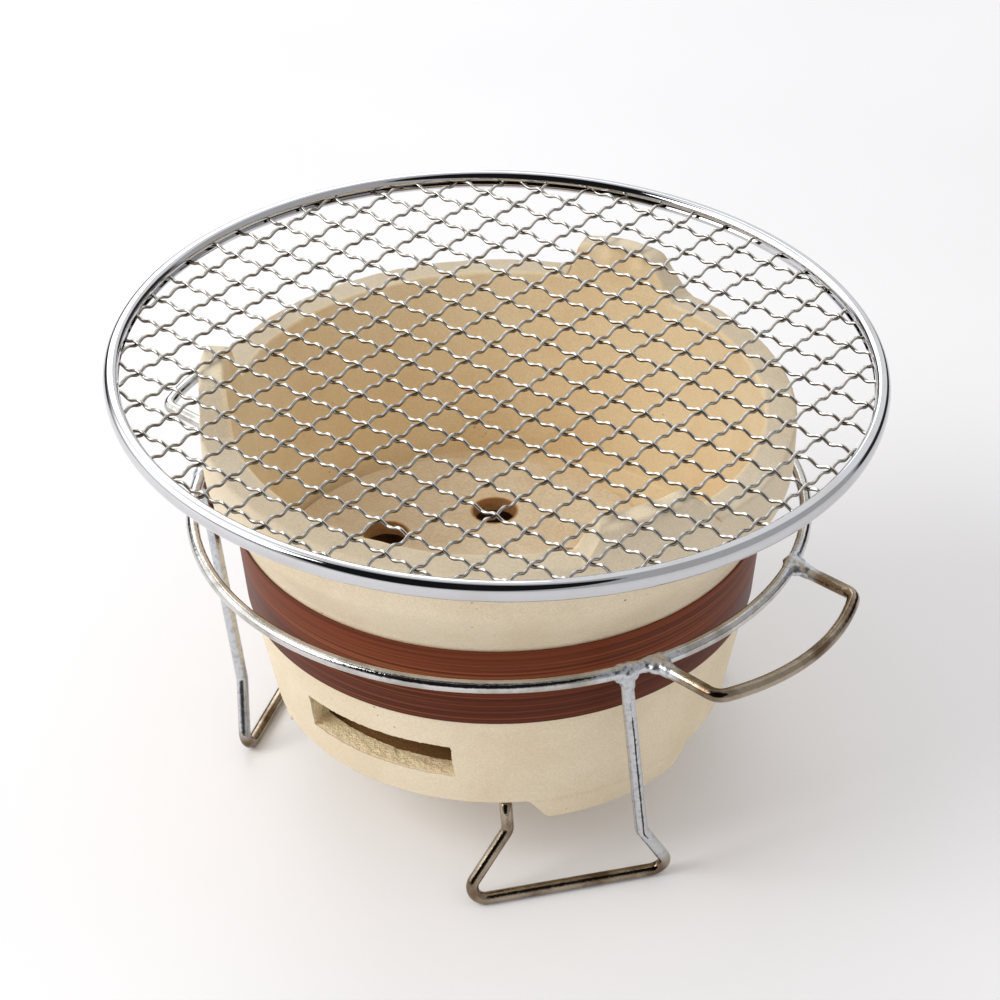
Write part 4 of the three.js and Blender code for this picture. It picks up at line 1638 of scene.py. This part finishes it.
@dataclass
class Grate:
    """The loose pierced disc that the charcoal lies on."""

    radius: float = 81.5 * MM
    bottom: float = 82.3 * MM
    thickness: float = 6.2 * MM
    shift: float = -12.9 * MM
    holes: int = 5
    hole_radius: float = 9.3 * MM
    hole_circle: float = 41 * MM
    first_hole: float = 74.5

    def spots(self) -> list[tuple[float, float]]:
        """The middles of the holes."""
        places = []
        for index in range(self.holes):
            middle = level_way(self.first_hole + 360 * index / self.holes) * self.hole_circle
            places.append((self.shift + middle.x, middle.y))
        return places

    def build(self) -> None:
        """Model the grate and hand it over."""
        top = self.bottom + self.thickness
        section = rounded(
            [
                (0, self.bottom, 0),
                (self.radius, self.bottom, 0.8 * MM),
                (self.radius, top, 1.1 * MM),
                (0, top, 0),
            ],
            25,
        )
        grate = Bench.turned("pierced_grate", section, 144)
        grate.data.transform(Matrix.Translation((self.shift, 0, 0)))
        for spot in self.spots():
            Bench.cut(grate, self.hole_cutter(spot))
        Bench.smooth(grate, 32)
        finish = BakedClay(hole_spots=tuple(self.spots())).material("baked_clay")
        hand_over(grate, Body.GRATE, Slot.BAKED_CLAY, finish, "grate")

    def hole_cutter(self, spot: tuple[float, float]) -> Piece:
        """A slightly rough plug that pierces one hole."""
        Bench.clear()
        bpy.ops.mesh.primitive_cylinder_add(
            vertices=48,
            radius=self.hole_radius,
            depth=self.thickness + 7.8 * MM,
            location=(*spot, self.bottom + self.thickness / 2),
        )
        cutter = Bench.settle("hole_cutter")
        Bench.tool(cutter, "REMESH", mode="VOXEL", voxel_size=0.9 * MM)
        Bench.roughen(cutter, 2.5 * MM, 0.9 * MM, spot[0])
        return cutter


@dataclass
class Grill:
    """The loose grill: a bright rolled rim that grips a net of crimped wires."""

    radius: float = 150 * MM
    rim_width: float = 6 * MM
    lie: GrillLie = GrillLie()
    rim_drop: float = 1.7 * MM
    rim_height: float = 7.6 * MM
    middle: float = 186.55 * MM
    wire_radius: float = 0.72 * MM
    pitch: float = 15.02 * MM
    crimp: float = 0.8 * MM
    crossing: tuple[float, float] = (-2.6 * MM, 10.12 * MM)
    turns: tuple[float, float] = (50.94, -39.89)
    slack: tuple[float, float] = (-0.041, -0.43)
    wire_end: float = 146.6 * MM
    wire_sides: int = 8
    stations: int = 30
    crimps: int = 3
    weaves: int = 12
    groove: float = 2.2 * MM
    rim_turn: float = 332.0
    rim_steps: int = 40
    rim_power: float = 0.86

    def build(self) -> None:
        """Model the rim and the net and hand them over."""
        chrome = PolishedChrome().material("polished_chrome")
        hand_over(self.rim(), Body.GRILL, Slot.GRILL_CHROME, chrome, "grill_rim")
        finish = CrimpedWire(lie=self.lie).material("crimped_wire")
        strand = self.strand()
        for name, turn, other, lift in (
            ("net_wires_one_way", self.turns[0], self.turns[1], 1.0),
            ("net_wires_other_way", self.turns[1], self.turns[0], -1.0),
        ):
            wires = self.wires(name, strand, turn, other, lift)
            hand_over(wires, Body.GRILL, Slot.GRILL_WIRE, finish, "grill_net")
        bpy.data.objects.remove(strand)

    def rim(self) -> Piece:
        """The rolled rim, open inside where the wires go in."""
        half_width, half_height = self.rim_width / 2, self.rim_height / 2
        centre = (self.radius - half_width, self.lie.height - self.rim_drop + half_height)
        low, high = self.middle - self.groove / 2, self.middle + self.groove / 2
        section = []
        for index in range(self.rim_steps + 1):
            way = level_way(self.rim_turn * (index / self.rim_steps - 0.5))
            across = math.copysign(abs(way.x) ** self.rim_power, way.x)
            up = math.copysign(abs(way.y) ** self.rim_power, way.y)
            section.append((centre[0] + half_width * across, centre[1] + half_height * up))
        lip = section[0][0] + 0.3 * MM
        back = section[0][0] + 2 * MM
        section = [(back, low), (lip, low), *section, (lip, high), (back, high), (back, low)]
        rim = Bench.turned("rolled_rim", section, 256)
        rim.data.transform(self.lie.move())
        Bench.smooth(rim, 50)
        return rim

    def strand(self) -> Piece:
        """A long crimped wire along X: one full weave is modelled and repeated."""
        Bench.clear()
        bpy.ops.mesh.primitive_circle_add(
            vertices=self.wire_sides,
            radius=self.wire_radius,
            fill_type="NOTHING",
            location=(0, 0, self.crimp),
            rotation=(0, math.radians(90), 0),
        )
        strand = Bench.settle("crimped_strand")
        weave = 2 * self.pitch

        def height(share: float) -> float:
            """The wire's height at a share of the weave."""
            return self.crimp * math.cos(2 * math.pi * self.crimps * share)

        with Bench.edit(strand):
            bpy.ops.mesh.select_all(action="SELECT")
            for index in range(self.stations):
                rise = height((index + 1) / self.stations) - height(index / self.stations)
                Bench.pull(Vector((weave / self.stations, 0, rise)))
        Bench.tool(
            strand,
            "ARRAY",
            count=self.weaves,
            use_relative_offset=False,
            use_constant_offset=True,
            constant_offset_displace=(weave, 0, 0),
            use_merge_vertices=True,
            merge_threshold=1e-5,
        )
        strand.data.transform(Matrix.Translation((-self.weaves / 2 * weave, 0, 0)))
        return strand

    def wires(self, name: str, strand: Piece, turn: float, other: float, lift: float) -> Piece:
        """All the wires that run one way.

        Args:
            name: The name of the set.
            strand: The long crimped wire along X, highest at its middle.
            turn: The direction that the wires run in, in degrees from +X.
            other: The direction of the crossing wires.
            lift: 1 where this set is on top at the crossing near the middle, or -1.

        Returns:
            The set of wires as one piece.
        """
        run = level_way(turn)
        step = level_way(other) * self.pitch
        crossing = Vector((*self.crossing, 0))
        parts = []
        count = math.ceil(self.wire_end / self.pitch) + 1
        for index in range(-count, count + 1):
            start = crossing + step * index
            offset = start.dot(run)
            nearest = start - run * offset
            if flat_radius(self.spread(nearest)) > self.wire_end - 4 * MM:
                continue
            reaches = [self.reach(nearest, run * look) for look in (-1, 1)]
            sign = lift * (-1 if index % 2 else 1)
            wire = Bench.copy(strand, f"{name}_{index + count}")
            if sign < 0:
                wire.data.transform(Matrix.Translation((self.pitch, 0, 0)))
            with Bench.edit(wire):
                for edge, look in ((-reaches[0] - offset, -1), (reaches[1] - offset, 1)):
                    bpy.ops.mesh.select_all(action="SELECT")
                    bpy.ops.mesh.bisect(
                        plane_co=(edge, 0, 0),
                        plane_no=(look, 0, 0),
                        use_fill=True,
                        clear_outer=True,
                    )
                Bench.face_out()
            turned = Matrix.Rotation(math.radians(turn), 4, "Z")
            wire.data.transform(Matrix.Translation(start + Vector((0, 0, self.middle))) @ turned)
            parts.append(wire)
        net = Bench.join(name, *parts)
        with Bench.edit(net):
            bpy.ops.mesh.select_all(action="SELECT")
            Bench.press(net, self.spread)
        net.data.transform(self.lie.move())
        Bench.smooth(net, 60)
        return net

    def spread(self, place: Vector) -> Vector:
        """Where a place of an even net lies in the real one, which opens a little to the back."""
        scale = 1 / (1 + self.slack[0] * place.x + self.slack[1] * place.y)
        return Vector((place.x * scale, place.y * scale, place.z))

    def reach(self, middle: Vector, way: Vector) -> float:
        """How far a wire of the even net runs from its middle until it ends inside the rim."""
        low, high = 0.0, 2 * self.wire_end
        for _ in range(30):
            half = (low + high) / 2
            if flat_radius(self.spread(middle + way * half)) < self.wire_end:
                low = half
            else:
                high = half
        return low


# --------------------------------------------------------------------------------------------------
# Studio
# --------------------------------------------------------------------------------------------------


@dataclass(frozen=True)
class Lamp:
    """A soft square lamp that looks at a point above the table."""

    name: str
    place: tuple[float, float, float]
    size: float
    power: float


@dataclass(frozen=True)
class RoomPatch:
    """A part of the room that bright metal sees: its direction, spread and soft edge in degrees."""

    direction: tuple[float, float, float]
    spread: float
    soft: float
    colour: Colour


@dataclass
class Studio:
    """The pale floor, the soft lamps, the room and the camera."""

    camera_place: tuple[float, float, float] = (0.0, -0.752487, 0.632534)
    pitch: float = 34.225
    yaw: float = 0.033
    roll: float = -0.579
    lens: float = 81.756
    aim: tuple[float, float, float] = (0.0, 0.0, 0.11)
    lamps: tuple[Lamp, ...] = (
        Lamp("key_lamp", (-1.5, -0.45, 1.25), 1.0, 18.0),
        Lamp("back_lamp", (-0.5, 1.7, 1.3), 1.2, 8.0),
    )
    floor_tones: tuple[Colour, Colour] = (shade(243, 242, 243), shade(246, 245, 246))
    floor_size: float = 12.0
    sensor_width: float = 36.0
    view_depth: float = 50.0
    ambient: Colour = (0.74, 0.74, 0.745, 1.0)
    walls: Colour = (0.5, 0.5, 0.51, 1.0)
    room: tuple[RoomPatch, ...] = (
        RoomPatch((-0.8, 0.1, 0.6), 30, 8, (1.7, 1.7, 1.7, 1.0)),
        RoomPatch((0.1, 0.75, 0.66), 32, 8, (1.0, 1.01, 1.03, 1.0)),
        RoomPatch((-0.246, -0.676, 0.695), 41, 3, (0.01, 0.01, 0.012, 1.0)),
        RoomPatch((0.75, 0.65, 0.12), 17, 6, (0.03, 0.028, 0.026, 1.0)),
        RoomPatch((-0.55, 0.82, 0.1), 13, 6, (0.05, 0.05, 0.05, 1.0)),
    )

    def build(self) -> None:
        """Set up floor, light and camera."""
        self.floor()
        for lamp in self.lamps:
            self.lamp(lamp)
        self.world()
        self.camera()
        bpy.context.scene.view_settings.view_transform = "Standard"

    def floor(self) -> None:
        """A wide pale floor that keeps the brazier's shadow."""
        Bench.clear()
        bpy.ops.mesh.primitive_plane_add(size=self.floor_size, location=(0, 0, 0))
        floor = Bench.settle("studio_floor")
        material, graph = new_material("studio_floor")
        place = graph.place()
        grain = graph.noise(place, 3, 2)
        colour = graph.blend(graph.between(grain, 0.3, 0.7), *self.floor_tones)
        graph.surface({"Base Color": colour, "Roughness": 0.9, "Specular IOR Level": 0.1})
        floor.data.materials.append(material)

    def lamp(self, lamp: Lamp) -> None:
        """Hang one soft lamp."""
        light = bpy.data.lights.new(lamp.name, "AREA")
        light.shape = "SQUARE"
        light.size = lamp.size
        light.energy = lamp.power
        holder = bpy.data.objects.new(lamp.name, light)
        holder.location = lamp.place
        aim = Vector(self.aim) - Vector(lamp.place)
        holder.rotation_euler = aim.to_track_quat("-Z", "Y").to_euler()
        bpy.context.scene.collection.objects.link(holder)

    def world(self) -> None:
        """The room: an even pale light, in which bright metal sees grey walls and patches."""
        world = bpy.data.worlds.new("studio_room")
        bpy.context.scene.world = world
        world.use_nodes = True
        graph = Graph(world.node_tree)
        direction = graph.node("ShaderNodeTexCoord", output="Generated")
        seen = self.walls
        for patch in self.room:
            towards = graph.node(
                "ShaderNodeVectorMath",
                {"operation": "DOT_PRODUCT"},
                {0: direction, 1: tuple(Vector(patch.direction).normalized())},
                output="Value",
            )
            inner = math.cos(math.radians(patch.spread))
            outer = math.cos(math.radians(patch.spread + patch.soft))
            seen = graph.blend(graph.between(towards, outer, inner), seen, patch.colour)
        glossy = graph.node("ShaderNodeLightPath", output="Is Glossy Ray")
        colour = graph.blend(glossy, self.ambient, seen)
        background = graph.node("ShaderNodeBackground", sockets={"Color": colour, "Strength": 1.0})
        graph.node("ShaderNodeOutputWorld", sockets={"Surface": background})

    def camera(self) -> None:
        """The camera of the photograph."""
        pitch, yaw, roll = (math.radians(value) for value in (self.pitch, self.yaw, self.roll))
        level = Vector((math.sin(yaw), math.cos(yaw), 0)) * math.cos(pitch)
        ahead = level - Vector((0, 0, math.sin(pitch)))
        right = Vector((math.cos(yaw), -math.sin(yaw), 0))
        up = right.cross(ahead)
        rolled_right = right * math.cos(roll) + up * math.sin(roll)
        rolled_up = up * math.cos(roll) - right * math.sin(roll)
        data = bpy.data.cameras.new("photo_camera")
        data.lens = self.lens
        data.sensor_width = self.sensor_width
        data.clip_end = self.view_depth
        holder = bpy.data.objects.new("photo_camera", data)
        turn = Matrix((rolled_right, rolled_up, -ahead)).transposed()
        holder.matrix_world = Matrix.Translation(Vector(self.camera_place)) @ turn.to_4x4()
        bpy.context.scene.collection.objects.link(holder)
        bpy.context.scene.camera = holder


def main() -> None:
    """Build the whole scene, in order; each piece's triangle count is logged as it is handed over.
    """
    logging.basicConfig(level=logging.INFO, format="%(name)s: %(message)s")
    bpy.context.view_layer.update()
    WireCarrier().build()
    FireBowl().build()
    Grate().build()
    Grill().build()
    Studio().build()
    Bench.clear()
    LOG.info("the scene is complete")


if __name__ == "__main__":
    main()
